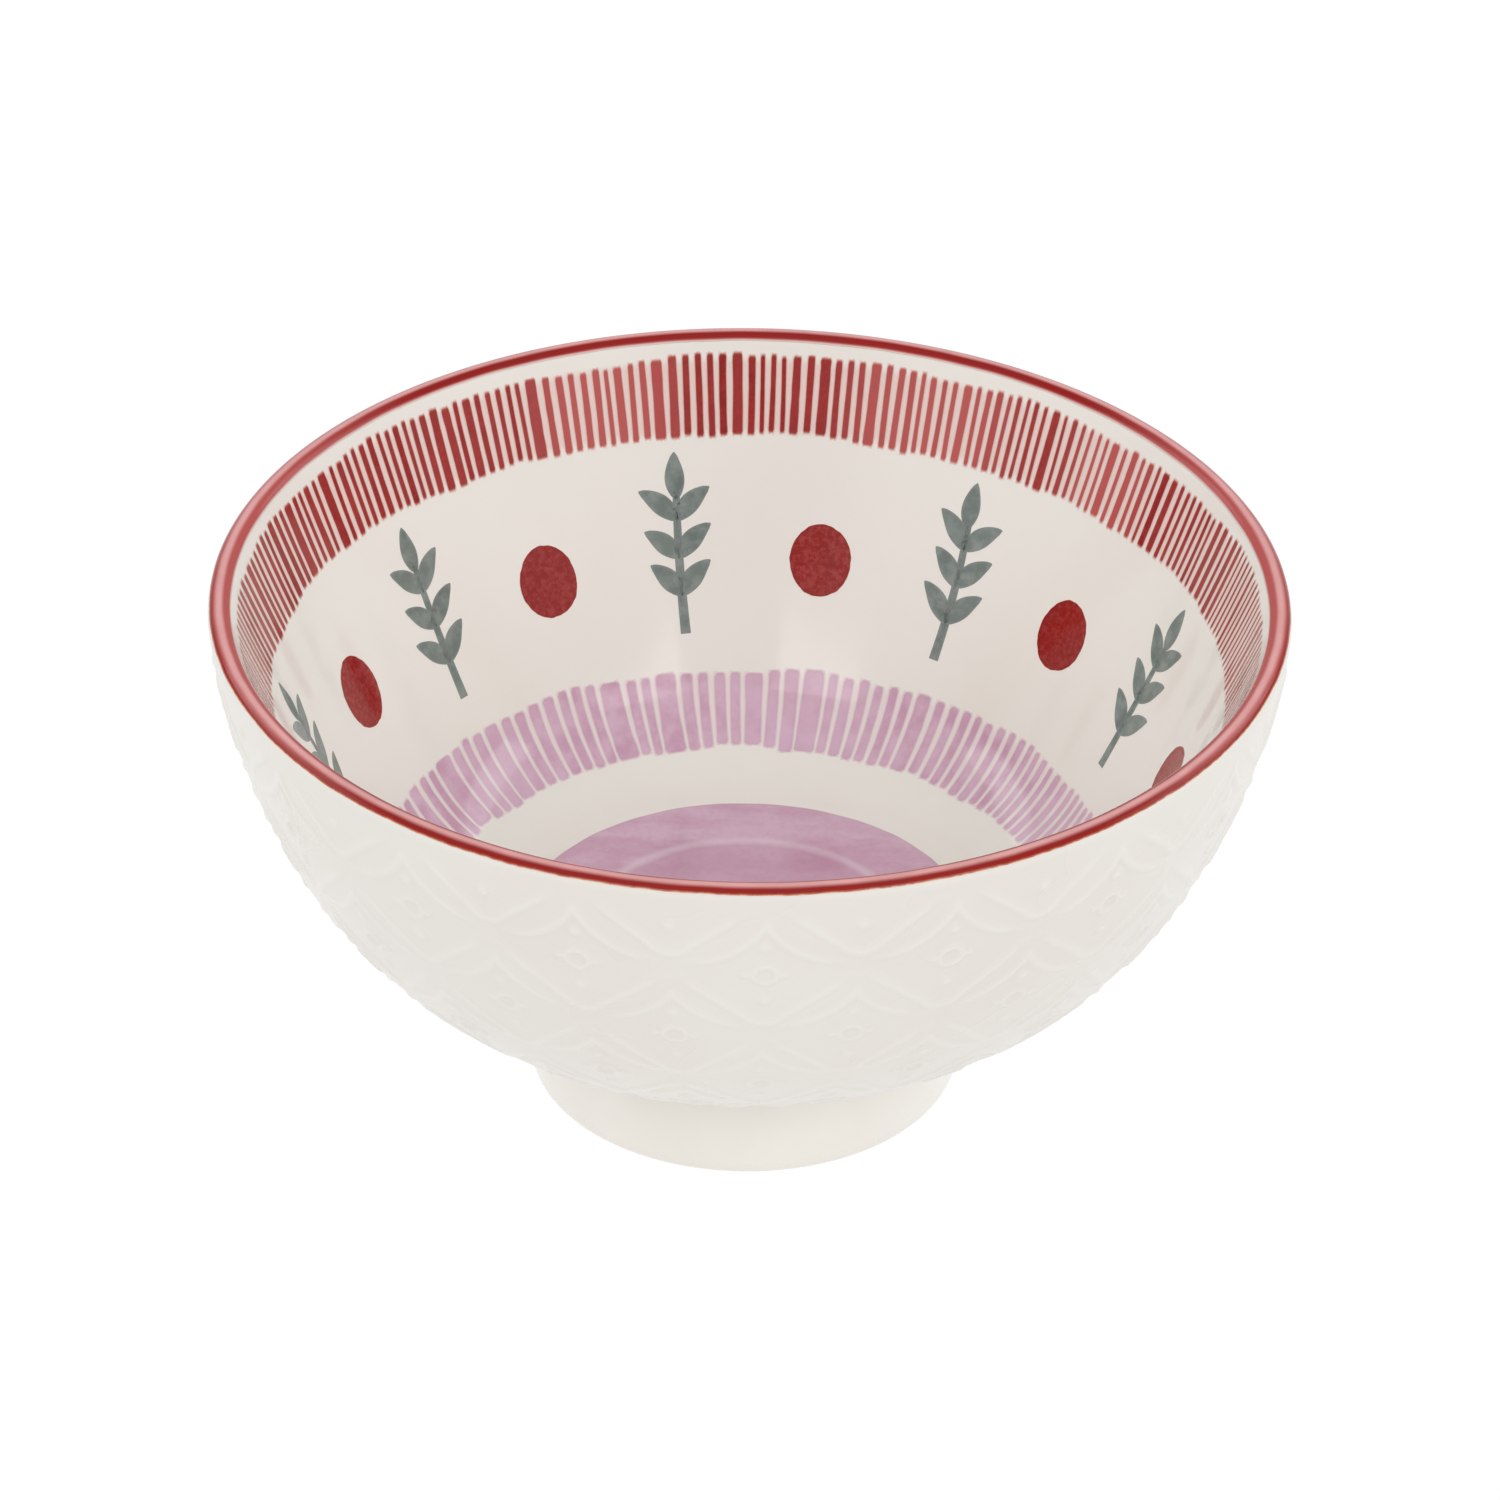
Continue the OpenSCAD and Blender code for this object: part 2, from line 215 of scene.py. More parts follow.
# Places round the bowl, in degrees, where the brush ran thin, and how far each reaches to either side
THIN_REDS = ((108, 8), (68, 10), (42, 6), (214, 9), (262, 6), (318, 10))
THIN_LILACS = ((82, 12), (140, 9), (190, 14), (250, 10), (330, 14), (20, 10))
THIN_TONE = (0.75, 1.0)
THIN_FADE = 1.5
TONE_SPREAD = 0.22

# Mesh fineness: points round the bowl, rows of each stretch, and radii of rings on flat faces
COARSE = 360
FINE = 1440
ROW_STEP = 0.33
BELLY_ROWS = 14
LIP_ROWS = 24
INSIDE_ROWS = 84
WELL_ROWS = 9
BAND_ROWS = 27
FOOT_ROUND_ROWS = 9
FOOT_SIDE_ROWS = 8
FOOT_FILLET_ROWS = 7
STEM_ROWS = 25
LEAF_ROWS = 13
DOT_COLUMNS = 72
DISC_COLUMNS = 240
UNDERSIDE_RADII = (8.0, 16.0, 23.0, FOOT_R - 1.0)
FLOOR_RADII = (28.0,)
WELL_RADII = (15.0, 8.0)
DOT_RINGS = (0.3, 0.55, 0.78, 0.92, 1.0)
DISC_INNER_RINGS = (0.2, 0.45)
DISC_OUTER_RINGS = (0.85, 0.95, 0.985, 1.0)

# The camera: fitted to the photograph's lip, foot and painted circles
VIEW_ELEVATION = 31.502
VIEW_ROLL = 0.75
VIEW_DISTANCE = 1200.0
VIEW_TARGET_Z = 76.26
VIEW_DROP = 0.990
FOCAL_PX = 8663.4
PHOTO_PX = 1500.0
SENSOR_MM = 36.0

# Table and light
TABLE_HALF_W = 6000.0
TABLE_DROP = 0.02
TABLE_ROUGHNESS = 0.9
TABLE_GLOW = 0.95
TABLE_LIGHT = 1.02
ROOM_FRONT = 1.46
ROOM_BACK = 0.65
ROOM_TURN = 0.2
ROOM_LOW = 0.70
ROOM_HIGH = 1.10
OPENING_SHARE = 0.45
OPENING_ELEVATION = 8.0
OPENING_INNER = 10.0
OPENING_OUTER = 34.0
LAMP_DISTANCE = 1.5
WHITE_LIGHT = (1.0, 1.0, 1.0)
COOL_LIGHT = (0.93, 1.0, 1.02)
# Name, azimuth from the camera's side to its right, elevation, width, height, brightness and colour,
# where width and height are the angles that the lamp fills as seen from the bowl
LAMPS = (
    ("right_window", 37.0, 33.0, 27.0, 14.0, 2.4, WHITE_LIGHT),
    ("left_window", -23.0, 33.0, 24.0, 14.0, 2.4, WHITE_LIGHT),
    ("right_fill", 110.0, 28.0, 44.0, 24.0, 2.0, COOL_LIGHT),
    ("left_fill", -110.0, 28.0, 44.0, 24.0, 1.9, COOL_LIGHT),
)


# The section's curves


def out_of_wall(lean):
    """Direction out of a wall that leans by an angle, in radians, from vertical."""
    return np.stack([np.cos(lean), -np.sin(lean)], axis=-1)


LIP = np.array([RIM_R - LIP_R, BOWL_H - LIP_R])


class Curve:
    """Two tangent arcs, measured by the length along them from the lip."""

    def __init__(self, upper_centre, upper_r, lower_centre, lower_r, lean, turn_lean):
        self.centres = (np.array(upper_centre), np.array(lower_centre))
        self.radii = (upper_r, lower_r)
        self.lean = lean
        self.turn_lean = turn_lean
        self.upper_len = upper_r * (turn_lean - lean)

    def at(self, s):
        """Points on the curve, as radius and height, and the directions out of the wall."""
        s = np.asarray(s, float)
        upper = s < self.upper_len
        lean = np.where(
            upper,
            self.lean + s / self.radii[0],
            self.turn_lean + (s - self.upper_len) / self.radii[1],
        )
        out = out_of_wall(lean)
        on_upper = self.centres[0] + self.radii[0] * out
        on_lower = self.centres[1] + self.radii[1] * out
        return np.where(upper[..., None], on_upper, on_lower), out

    def length_to_lean(self, lean):
        return self.upper_len + self.radii[1] * (lean - self.turn_lean)


def outer_curve():
    lean = math.radians(OUTER_LEAN)
    upper = LIP - (OUTER_UPPER_R - LIP_R) * out_of_wall(lean)
    lower = upper + (OUTER_UPPER_R - OUTER_LOWER_R) * OUTER_TURN
    return Curve(upper, OUTER_UPPER_R, lower, OUTER_LOWER_R, lean, math.asin(-OUTER_TURN[1]))


def inner_curve():
    lean = math.radians(INNER_LEAN)
    upper = LIP - (INNER_UPPER_R + LIP_R) * out_of_wall(lean)
    low_z = FLOOR_H + INNER_LOWER_R
    drop = upper[1] - low_z
    across = math.sqrt((INNER_UPPER_R - INNER_LOWER_R) ** 2 - drop**2)
    lower = [upper[0] + across, low_z]
    return Curve(upper, INNER_UPPER_R, lower, INNER_LOWER_R, lean, math.atan2(drop, across))


OUTER = outer_curve()
INNER = inner_curve()
OUTER_END = OUTER.length_to_lean(math.asin((OUTER.centres[1][1] - FOOT_H) / OUTER_LOWER_R))
INNER_END = INNER.length_to_lean(math.pi / 2)


# Meshes


def smooth_step(x):
    x = np.clip(x, 0.0, 1.0)
    return x * x * (3.0 - 2.0 * x)


def make_object(name, points, faces, materials, face_material=None, normals=None, attributes=None):
    """An object from points in millimetres and a list of faces."""
    mesh = bpy.data.meshes.new(name)
    mesh.from_pydata((np.asarray(points) * MM).tolist(), [], faces)
    for material in materials:
        mesh.materials.append(material)
    if face_material is not None:
        mesh.polygons.foreach_set("material_index", np.asarray(face_material, dtype=np.int32))
    for key, values in (attributes or {}).items():
        layer = mesh.attributes.new(key, "FLOAT", "POINT")
        layer.data.foreach_set("value", np.asarray(values, dtype=np.float32))
    mesh.shade_smooth()
    if normals is not None:
        mesh.normals_split_custom_set_from_vertices(np.asarray(normals).tolist())
    mesh.update()
    piece = bpy.data.objects.new(name, mesh)
    bpy.context.collection.objects.link(piece)
    return piece


class Lathe:
    """Rings of points round the axis, each joined to the one before."""

    def __init__(self):
        self.points = []
        self.faces = []
        self.face_material = []
        self.marks = []
        self.start = 0
        self.last = None

    def ring(self, r, z, count, material=0, mark=0.0):
        """Adds a ring of the given count: r, z and mark are numbers, or one number for each point."""
        angle = np.arange(count) * (2.0 * math.pi / count)
        r = np.broadcast_to(r, count)
        z = np.broadcast_to(z, count)
        self.points.append(np.stack([r * np.cos(angle), r * np.sin(angle), z], axis=1))
        self.marks.append(np.broadcast_to(mark, count))
        ring = (self.start, count)
        self.start += count
        if self.last is not None:
            new = self.joined(self.last, ring)
            self.faces += new
            self.face_material += [material] * len(new)
        self.last = ring

    def close(self, material=0):
        """Joins the last ring to the first."""
        new = self.joined(self.last, (0, len(self.points[0])))
        self.faces += new
        self.face_material += [material] * len(new)

    @staticmethod
    def joined(a, b):
        (a0, na), (b0, nb) = a, b
        if na == 1:
            return [(a0, b0 + (j + 1) % nb, b0 + j) for j in range(nb)]
        if nb == 1:
            return [(a0 + j, a0 + (j + 1) % na, b0) for j in range(na)]
        few = min(na, nb)
        ka, kb = na // few, nb // few
        faces = []
        for j in range(few):
            low = [a0 + (j * ka + i) % na for i in range(ka + 1)]
            high = [b0 + (j * kb + i) % nb for i in range(kb, -1, -1)]
            faces.append(tuple(low + high))
        return faces

    def object(self, name, materials):
        points = np.concatenate(self.points)
        marks = {"mark": np.concatenate(self.marks)}
        return make_object(name, points, self.faces, materials, self.face_material, attributes=marks)


# The moulded lattice, as a height over the outside wall


def ridge(distance, half_w=RIDGE_HALF_W):
    """A soft raised line, from 1 on its middle to 0 at its edge."""
    return 0.5 + 0.5 * np.cos(math.pi * np.clip(distance / half_w, 0.0, 1.0))


def to_segment(x, y, a, b):
    """Distance from points to a straight stretch, and the share of it that is passed."""
    d = np.subtract(b, a)
    share = np.clip(((x - a[0]) * d[0] + (y - a[1]) * d[1]) / d.dot(d), 0.0, 1.0)
    return np.hypot(x - a[0] - share * d[0], y - a[1] - share * d[1]), share


def to_arc(x, y, centre, r, a, b):
    """Distance from points to the short arc from a to b, and the share of it that is passed."""
    start = math.atan2(a[1] - centre[1], a[0] - centre[0])
    sweep = math.atan2(b[1] - centre[1], b[0] - centre[0]) - start
    sweep = (sweep + math.pi) % (2 * math.pi) - math.pi
    turn = np.arctan2(y - centre[1], x - centre[0]) - start
    turn = (turn + math.pi) % (2 * math.pi) - math.pi
    share = np.clip(turn / sweep, 0.0, 1.0)
    angle = start + share * sweep
    return np.hypot(x - centre[0] - r * np.cos(angle), y - centre[1] - r * np.sin(angle)), share


def merged(a, b):
    """Two heights, as shares, run softly into each other."""
    return a + b - a * b


def tapered(distance, share):
    """A raised line that thins out over its last stretch."""
    return ridge(distance) * (TAPER_END + (1.0 - TAPER_END) * smooth_step((1.0 - share) / TAPER_STRETCH))


def cell_points(half_w):
    """The places that a cell's lines run through, on its right half."""
    reach = half_w - CORNER_GAP
    top = np.array([0.0, ARCH_RISE])
    end = np.array([reach, ARCH_RISE - ARCH_FALL * reach])
    half = (end - top) / 2
    rise = math.sqrt(ARCH_R**2 - half.dot(half)) / np.linalg.norm(half)
    arch_centre = top + half + rise * np.array([-half[1], half[0]])
    cup = np.array([0.0, CUP_R - CUP_DROP])
    spread = math.radians(CUP_SPREAD)
    joint = cup + CUP_R * np.array([math.sin(spread), -math.cos(spread)])
    cup_end = np.array([reach + CUP_ARM_REACH, -CORNER_GAP / 2])
    return top, end, arch_centre, cup, joint, cup_end


def cell_height(x, y, half_w, upper_half):
    """Height of one cell's raised lines over a flat wall, as a share of the relief's height."""
    x = np.abs(x)
    top, end, arch_centre, cup, joint, cup_end = cell_points(half_w)
    arm = tapered(*to_segment(x, y, joint, cup_end))
    h = np.maximum(arm, ridge(to_arc(x, y, cup, CUP_R, cup - [0.0, CUP_R], joint)[0]))
    h = merged(h, BEAD_SHARE * ridge(np.hypot(x, y + BEAD_OFFSET), BEAD_R))
    if upper_half:
        h = merged(h, tapered(*to_arc(x, y, arch_centre, ARCH_R, top, end)))
        h = merged(h, BEAD_SHARE * ridge(np.hypot(x, y - BEAD_OFFSET), BEAD_R))
        ring = ridge(np.abs(np.hypot(x, y) - EYE_R), EYE_RIDGE_HALF_W)
        point = ridge(to_segment(x, y, [EYE_R, 0.0], [EYE_W / 2, 0.0])[0], EYE_RIDGE_HALF_W)
        h = merged(h, np.maximum(ring, point))
        h = h - EYE_DIP * ridge(np.hypot(x, y), EYE_HOLE_R)
    return h


def above_arch(x, y, half_w):
    """How far points lie above the pointed top of a cell."""
    arch_centre = cell_points(half_w)[2]
    x = np.minimum(np.abs(x), arch_centre[0])
    return y - (arch_centre[1] - np.sqrt(np.maximum(ARCH_R**2 - (x - arch_centre[0]) ** 2, 0.0)))


def below_cup(x, y, half_w):
    """How far points lie below the round bottom of a cell."""
    cup, joint, cup_end = cell_points(half_w)[3:]
    x = np.abs(x)
    slope = (cup_end[1] - joint[1]) / (cup_end[0] - joint[0])
    arms = joint[1] + slope * (x - joint[0])
    bottom = cup[1] - np.sqrt(np.maximum(CUP_R**2 - x**2, 0.0))
    return np.where(x < joint[0], bottom, arms) - y


def relief_heights(lengths):
    """Height of the lattice at lengths along the wall, for each point of a fine ring."""
    per_cell = FINE // CELLS
    step = 2.0 * math.pi / CELLS
    angle = np.arange(per_cell) * (2.0 * math.pi / FINE)
    s = np.asarray(lengths)[:, None]
    height = np.zeros((len(lengths), per_cell))
    cup_gap = None
    for course in range(COURSES):
        at = OUTER.at(course * COURSE_PITCH)[0]
        middle = math.radians(FRONT + LATTICE_TURN) + ((course + 1) % 2) * step / 2
        turn = (angle - middle + step / 2) % step - step / 2
        x = np.broadcast_to(turn * at[0], height.shape)
        y = np.broadcast_to(course * COURSE_PITCH - LATTICE_RISE - s, height.shape)
        half_w = at[0] * step / 2
        lines = RELIEF_H * cell_height(x, y, half_w, course > 0)
        if cup_gap is not None:
            leaf = np.minimum(cup_gap, above_arch(x, y, half_w))
            lines = np.maximum(lines, LEAF_PAD_H * smooth_step(leaf / LEAF_PAD_SLOPE))
        height = np.where(lines < 0.0, lines, RELIEF_H * merged(height / RELIEF_H, lines / RELIEF_H))
        cup_gap = below_cup(x, y, half_w)
    fade = smooth_step((s - RELIEF_TOP) / RELIEF_FADE)
    fade = fade * smooth_step((RELIEF_END - s) / RELIEF_FADE)
    return np.tile(height * fade, (1, CELLS))


# The glazed body and foot


def glazed_body(outside, inside):
    lathe = Lathe()
    lathe.ring(0.0, FOOT_H, 1)
    for r in UNDERSIDE_RADII:
        lathe.ring(r, FOOT_H, COARSE)
    for s in np.linspace(OUTER_END, RELIEF_END + PLAIN_BELOW, BELLY_ROWS):
        (r, z), _ = OUTER.at(s)
        lathe.ring(r, z, COARSE)
    rows = np.arange(RELIEF_END, RELIEF_TOP, -ROW_STEP)
    heights = relief_heights(rows)
    for s, h in zip(rows, heights):
        (r, z), out = OUTER.at(s)
        lathe.ring(r + h * out[0], z + h * out[1], FINE, mark=h / RELIEF_H)
    (r, z), _ = OUTER.at(PLAIN_ABOVE)
    lathe.ring(r, z, COARSE)
    for a in np.radians(np.linspace(-OUTER_LEAN, 180.0 - INNER_LEAN, LIP_ROWS)):
        side = 0 if math.cos(a) > 0.0 else 1
        lathe.ring(LIP[0] + LIP_R * math.cos(a), LIP[1] + LIP_R * math.sin(a), COARSE, side)
    for s in np.linspace(0.0, INNER_END, INSIDE_ROWS)[1:]:
        (r, z), _ = INNER.at(s)
        lathe.ring(r, z, COARSE, 1)
    slope = np.linspace(WELL_R, WELL_R - WELL_SLOPE, WELL_ROWS)
    for r in np.concatenate([FLOOR_RADII, slope, WELL_RADII]):
        lathe.ring(r, floor_height(r), COARSE, 1)
    lathe.ring(0.0, floor_height(0.0), 1, 1)
    return lathe.object("glazed_body", [outside, inside])


def glazed_foot(material):
    slope = math.tan(math.radians(FOOT_DRAFT))
    top_r = FOOT_R - FOOT_WALL
    bottom_r = top_r + FOOT_H * slope
    (seat_r, seat_z), _ = OUTER.at(OUTER_END - FOOT_FILLET)
    section = [(top_r, FOOT_H), (bottom_r - FOOT_INSIDE_STEP * slope, FOOT_INSIDE_STEP)]
    section += [(bottom_r - FOOT_CHAMFER * slope, FOOT_CHAMFER), (bottom_r + FOOT_CHAMFER, 0.0)]
    section += [(FOOT_R - FOOT_ROUND - FOOT_REST_STEP, 0.0)]
    for a in np.linspace(-math.pi / 2, 0.0, FOOT_ROUND_ROWS):
        section.append((FOOT_R + FOOT_ROUND * (math.cos(a) - 1.0), FOOT_ROUND * (1.0 + math.sin(a))))
    section += [(FOOT_R, z) for z in np.linspace(FOOT_ROUND, FOOT_H - FOOT_FILLET, FOOT_SIDE_ROWS)[1:]]
    for t in np.linspace(0.0, 1.0, FOOT_FILLET_ROWS)[1:]:
        r = (1 - t) ** 2 * FOOT_R + 2 * t * (1 - t) * FOOT_R + t**2 * seat_r
        z = (1 - t) ** 2 * (FOOT_H - FOOT_FILLET) + 2 * t * (1 - t) * FOOT_H + t**2 * seat_z
        section.append((r, z))
    hidden_z = FOOT_H + FOOT_TOP_H
    section += [(FOOT_R - FOOT_TOP_OUTER_STEP, hidden_z), (top_r + FOOT_TOP_INNER_STEP, hidden_z)]
    lathe = Lathe()
    for r, z in section:
        lathe.ring(r, z, COARSE)
    lathe.close()
    return lathe.object("glazed_foot", [material])


def lip_band(material):
    """The red coat over the lip, with slightly uneven edges."""
    count = 2 * COARSE
    angle = np.arange(count) * (2.0 * math.pi / count)
    outside = np.radians(BAND_OUTER_ANGLE + BAND_OUTER_SWAY * wavy(angle, BAND_OUTER_WAVES))
    inside = np.radians(BAND_INNER_ANGLE + BAND_INNER_SWAY * wavy(angle, BAND_INNER_WAVES))
    shares = np.linspace(0.0, 1.0, BAND_ROWS)
    lathe = Lathe()
    for lift, order in ((PAINT_LIFT, shares), (-PAINT_SINK, shares[::-1])):
        for t in order:
            a = outside + (inside - outside) * t
            r = LIP_R + lift
            lathe.ring(LIP[0] + r * np.cos(a), LIP[1] + r * np.sin(a), count, mark=t)
    lathe.close()
    return lathe.object("red_lip", [material])


# Brush paint on the inside wall


def floor_height(r):
    """Height of the floor at a radius: its middle lies a trace lower, inside the foot."""
    return FLOOR_H - WELL_DEPTH * smooth_step((WELL_R - r) / WELL_SLOPE)


def wavy(angle, waves):
    """A smooth uneven line round the bowl, between about -1 and 1."""
    total = np.zeros_like(angle)
    for n in waves:
        total += np.sin(n * angle + RNG.uniform(0.0, 2.0 * math.pi))
    return total / len(waves)


class Paint:
    """Thin slabs of colour on the inside wall, gathered into one mesh."""

    def __init__(self):
        self.points = []
        self.normals = []
        self.faces = []
        self.edge = []
        self.tone = []
        self.start = 0

    def add(self, flat, faces, rim, edge, tone, middle, turn, on_floor=False):
        """Lays a flat drawing on the wall: x round the bowl, y up from a length along the wall."""
        flat = np.asarray(flat)
        n = len(flat)
        if on_floor:
            place = np.column_stack([flat, floor_height(np.hypot(flat[:, 0], flat[:, 1]))])
            out = np.tile([0.0, 0.0, 1.0], (n, 1))
        else:
            (rz, wall_out) = INNER.at(middle - flat[:, 1])
            angle = turn - flat[:, 0] / rz[:, 0]
            place = np.column_stack([rz[:, 0] * np.cos(angle), rz[:, 0] * np.sin(angle), rz[:, 1]])
            out = -np.column_stack(
                [wall_out[:, 0] * np.cos(angle), wall_out[:, 0] * np.sin(angle), wall_out[:, 1]]
            )
        front, back = self.start, self.start + n
        self.points += [place + PAINT_LIFT * out, place - PAINT_SINK * out]
        self.normals += [out, out]
        self.edge += [edge, edge]
        self.tone.append(np.full(2 * n, tone))
        self.faces += [tuple(front + i for i in face) for face in faces]
        self.faces += [tuple(back + i for i in reversed(face)) for face in faces]
        for i, j in zip(rim, rim[1:] + rim[:1]):
            self.faces.append((front + j, front + i, back + i, back + j))
        self.start += 2 * n

    def object(self, name, material):
        return make_object(
            name,
            np.concatenate(self.points),
            self.faces,
            [material],
            normals=np.concatenate(self.normals),
            attributes={"edge": np.concatenate(self.edge), "tone": np.concatenate(self.tone)},
        )


def strip(rows, cols):
    """Faces, rim and edge shares of a grid of points, row by row from the bottom left."""
    faces = []
    for i in range(rows - 1):
        for j in range(cols - 1):
            a = i * cols + j
            faces.append((a, a + 1, a + cols + 1, a + cols))
    bottom = list(range(cols))
    right = [i * cols + cols - 1 for i in range(1, rows)]
    top = [(rows - 1) * cols + j for j in range(cols - 2, -1, -1)]
    left = [i * cols for i in range(rows - 2, 0, -1)]
    rim = bottom + right + top + left
    to_end = np.minimum(np.arange(rows), np.arange(rows)[::-1])
    edge = np.repeat(np.clip(END_FADE * to_end, 0.0, 1.0), cols)
    edge[rim] = 0.0
    return faces, rim, edge


def brush_stroke(line, half_widths, soft_edge):
    """A grid of points along a line, with its own half width at each point and soft sides."""
    line = np.asarray(line)
    along = np.gradient(line, axis=0)
    along /= np.linalg.norm(along, axis=1)[:, None]
    across = np.column_stack([along[:, 1], -along[:, 0]])
    soft = np.minimum(soft_edge, EDGE_LIMIT * half_widths)
    outer = half_widths + soft
    inner = half_widths - soft
    offsets = np.column_stack([-outer, -inner, np.zeros(len(line)), inner, outer])
    flat = line[:, None, :] + offsets[:, :, None] * across[:, None, :]
    return flat.reshape(-1, 2), *offsets.shape


def stripe_tones(middles, thin_places):
    """How thin the colour of each stripe is, in groups, as a brush is dipped and runs dry."""
    tones = RNG.uniform(0.0, TONE_SPREAD, len(middles))
    for place, reach in thin_places:
        away = (np.degrees(middles) - place + 180.0) % 360.0 - 180.0
        tones += RNG.uniform(*THIN_TONE) * smooth_step(THIN_FADE - np.abs(away) / reach)
    return np.clip(tones, 0.0, 1.0)


def stripe_places(count, narrow, wide, wide_share, gap):
    """Middles and widths, as angles, of stripes drawn one after another round the bowl."""
    is_wide = RNG.random(count) < wide_share
    widths = np.where(is_wide, RNG.uniform(*wide, count), RNG.uniform(*narrow, count))
    away = 2.0 * math.pi * np.arange(count) / count - math.radians(BROAD_PLACE)
    widths = widths * (1.0 + BROAD_SHARE * np.cos(away))
    steps = widths + RNG.uniform(*gap, count)
    turn = 2.0 * math.pi / steps.sum()
    return (np.cumsum(steps) - steps / 2) * turn, widths * turn


def stripes(name, material, places, start, length, thin_places, soft_edge):
    """A ring of hand-drawn stripes down the inside wall."""
    paint = Paint()
    middles, widths = places
    tones = stripe_tones(middles, thin_places)
    uneven_top = UNEVEN_TOP * wavy(middles, UNEVEN_TOP_WAVES)
    uneven_low = UNEVEN_LOW * wavy(middles, UNEVEN_LOW_WAVES)
    from_middle = STROKE_SHARES - 0.5
    radius = INNER.at(start + length / 2)[0][0]
    for middle, width, tone, top, low in zip(middles, widths, tones, uneven_top, uneven_low):
        top += RNG.uniform(-UNEVEN_STROKE, UNEVEN_STROKE)
        low += RNG.uniform(-UNEVEN_STROKE, UNEVEN_STROKE) - length
        y = low + (top - low) * STROKE_SHARES
        tilt = RNG.uniform(-STROKE_TILT, STROKE_TILT)
        sway = RNG.uniform(-STROKE_SWAY, STROKE_SWAY)
        x = tilt * from_middle + sway * np.sin(math.pi * STROKE_SHARES)
        taper = RNG.uniform(-STROKE_TAPER, STROKE_TAPER)
        wobble = RNG.uniform(-STROKE_WOBBLE, STROKE_WOBBLE, len(STROKE_SHARES))
        half_widths = 0.5 * width * radius * STROKE_WIDTHS * (1.0 + taper * from_middle + wobble)
        flat, rows, cols = brush_stroke(np.column_stack([x, y]), half_widths, soft_edge)
        flat[:cols, 1] -= RNG.uniform(0.0, STROKE_RAGGED, cols)
        flat[-cols:, 1] += RNG.uniform(0.0, STROKE_RAGGED, cols)
        faces, rim, edge = strip(rows, cols)
        paint.add(flat, faces, rim, edge, tone, start, middle)
    return paint.object(name, material)


def disc_grid(radii, columns, outline):
    """A round grid of points with an uneven outline."""
    angle = np.arange(columns) * (2.0 * math.pi / columns)
    flat = [np.zeros((1, 2))]
    faces = []
    for k, share in enumerate(radii):
        reach = 1.0 + (outline - 1.0) * share
        flat.append(np.column_stack([np.cos(angle), np.sin(angle)]) * (share * reach)[:, None])
        ring = 1 + k * columns
        for j in range(columns):
            following = (j + 1) % columns
            if k == 0:
                faces.append((0, ring + j, ring + following))
            else:
                inner = ring - columns
                faces.append((inner + j, ring + j, ring + following, inner + following))
    count = 1 + len(radii) * columns
    rim = list(range(count - columns, count))
    edge = np.ones(count)
    edge[rim] = 0.0
    return np.concatenate(flat), faces, rim, edge


def dots(material):
    paint = Paint()
    angle = np.arange(DOT_COLUMNS) * (2.0 * math.pi / DOT_COLUMNS)
    for i in range(FRIEZE_COUNT):
        outline = 1.0 + DOT_SWAY * wavy(angle, DOT_SWAY_WAVES) + DOT_RIPPLE * wavy(angle, DOT_RIPPLE_WAVES)
        flat, faces, rim, edge = disc_grid(DOT_RINGS, DOT_COLUMNS, outline)
        size = RNG.uniform(*DOT_SIZES)
        flat = flat * [DOT_HALF_W * size, DOT_HALF_H * size]
        turn = i * 2.0 * math.pi / FRIEZE_COUNT
        paint.add(flat, faces, rim, edge, RNG.uniform(0.0, 1.0), FRIEZE_MIDDLE, turn)
    return paint.object("red_dots", material)


def floor_disc(material):
    paint = Paint()
    angle = np.arange(DISC_COLUMNS) * (2.0 * math.pi / DISC_COLUMNS)
    outline = 1.0 + DISC_SWAY * wavy(angle, DISC_WAVES)
    slope = np.linspace(WELL_R - WELL_SLOPE, WELL_R, WELL_ROWS) / DISC_R
    radii = np.concatenate([DISC_INNER_RINGS, slope, DISC_OUTER_RINGS])
    flat, faces, rim, edge = disc_grid(radii, DISC_COLUMNS, outline)
    paint.add(flat * DISC_R, faces, rim, edge, tone=0.5, middle=0.0, turn=0.0, on_floor=True)
    return paint.object("lilac_floor", material)


def leaf_line(base, direction, length, bend):
    """The middle line of a leaf: a gently bent line from its base."""
    t = np.linspace(0.0, 1.0, LEAF_ROWS)[:, None]
    aside = np.array([-direction[1], direction[0]])
    return base + length * (t * direction + bend * t * (1.0 - t) * aside), t[:, 0]


def leaf_stroke(base, direction, length, bend):
    """A leaf's middle line and its half width at each point."""
    line, t = leaf_line(base, direction, length, bend)
    return line, 0.5 * LEAF_W * np.sin(math.pi * t**LEAF_SWELL) + LEAF_TIP


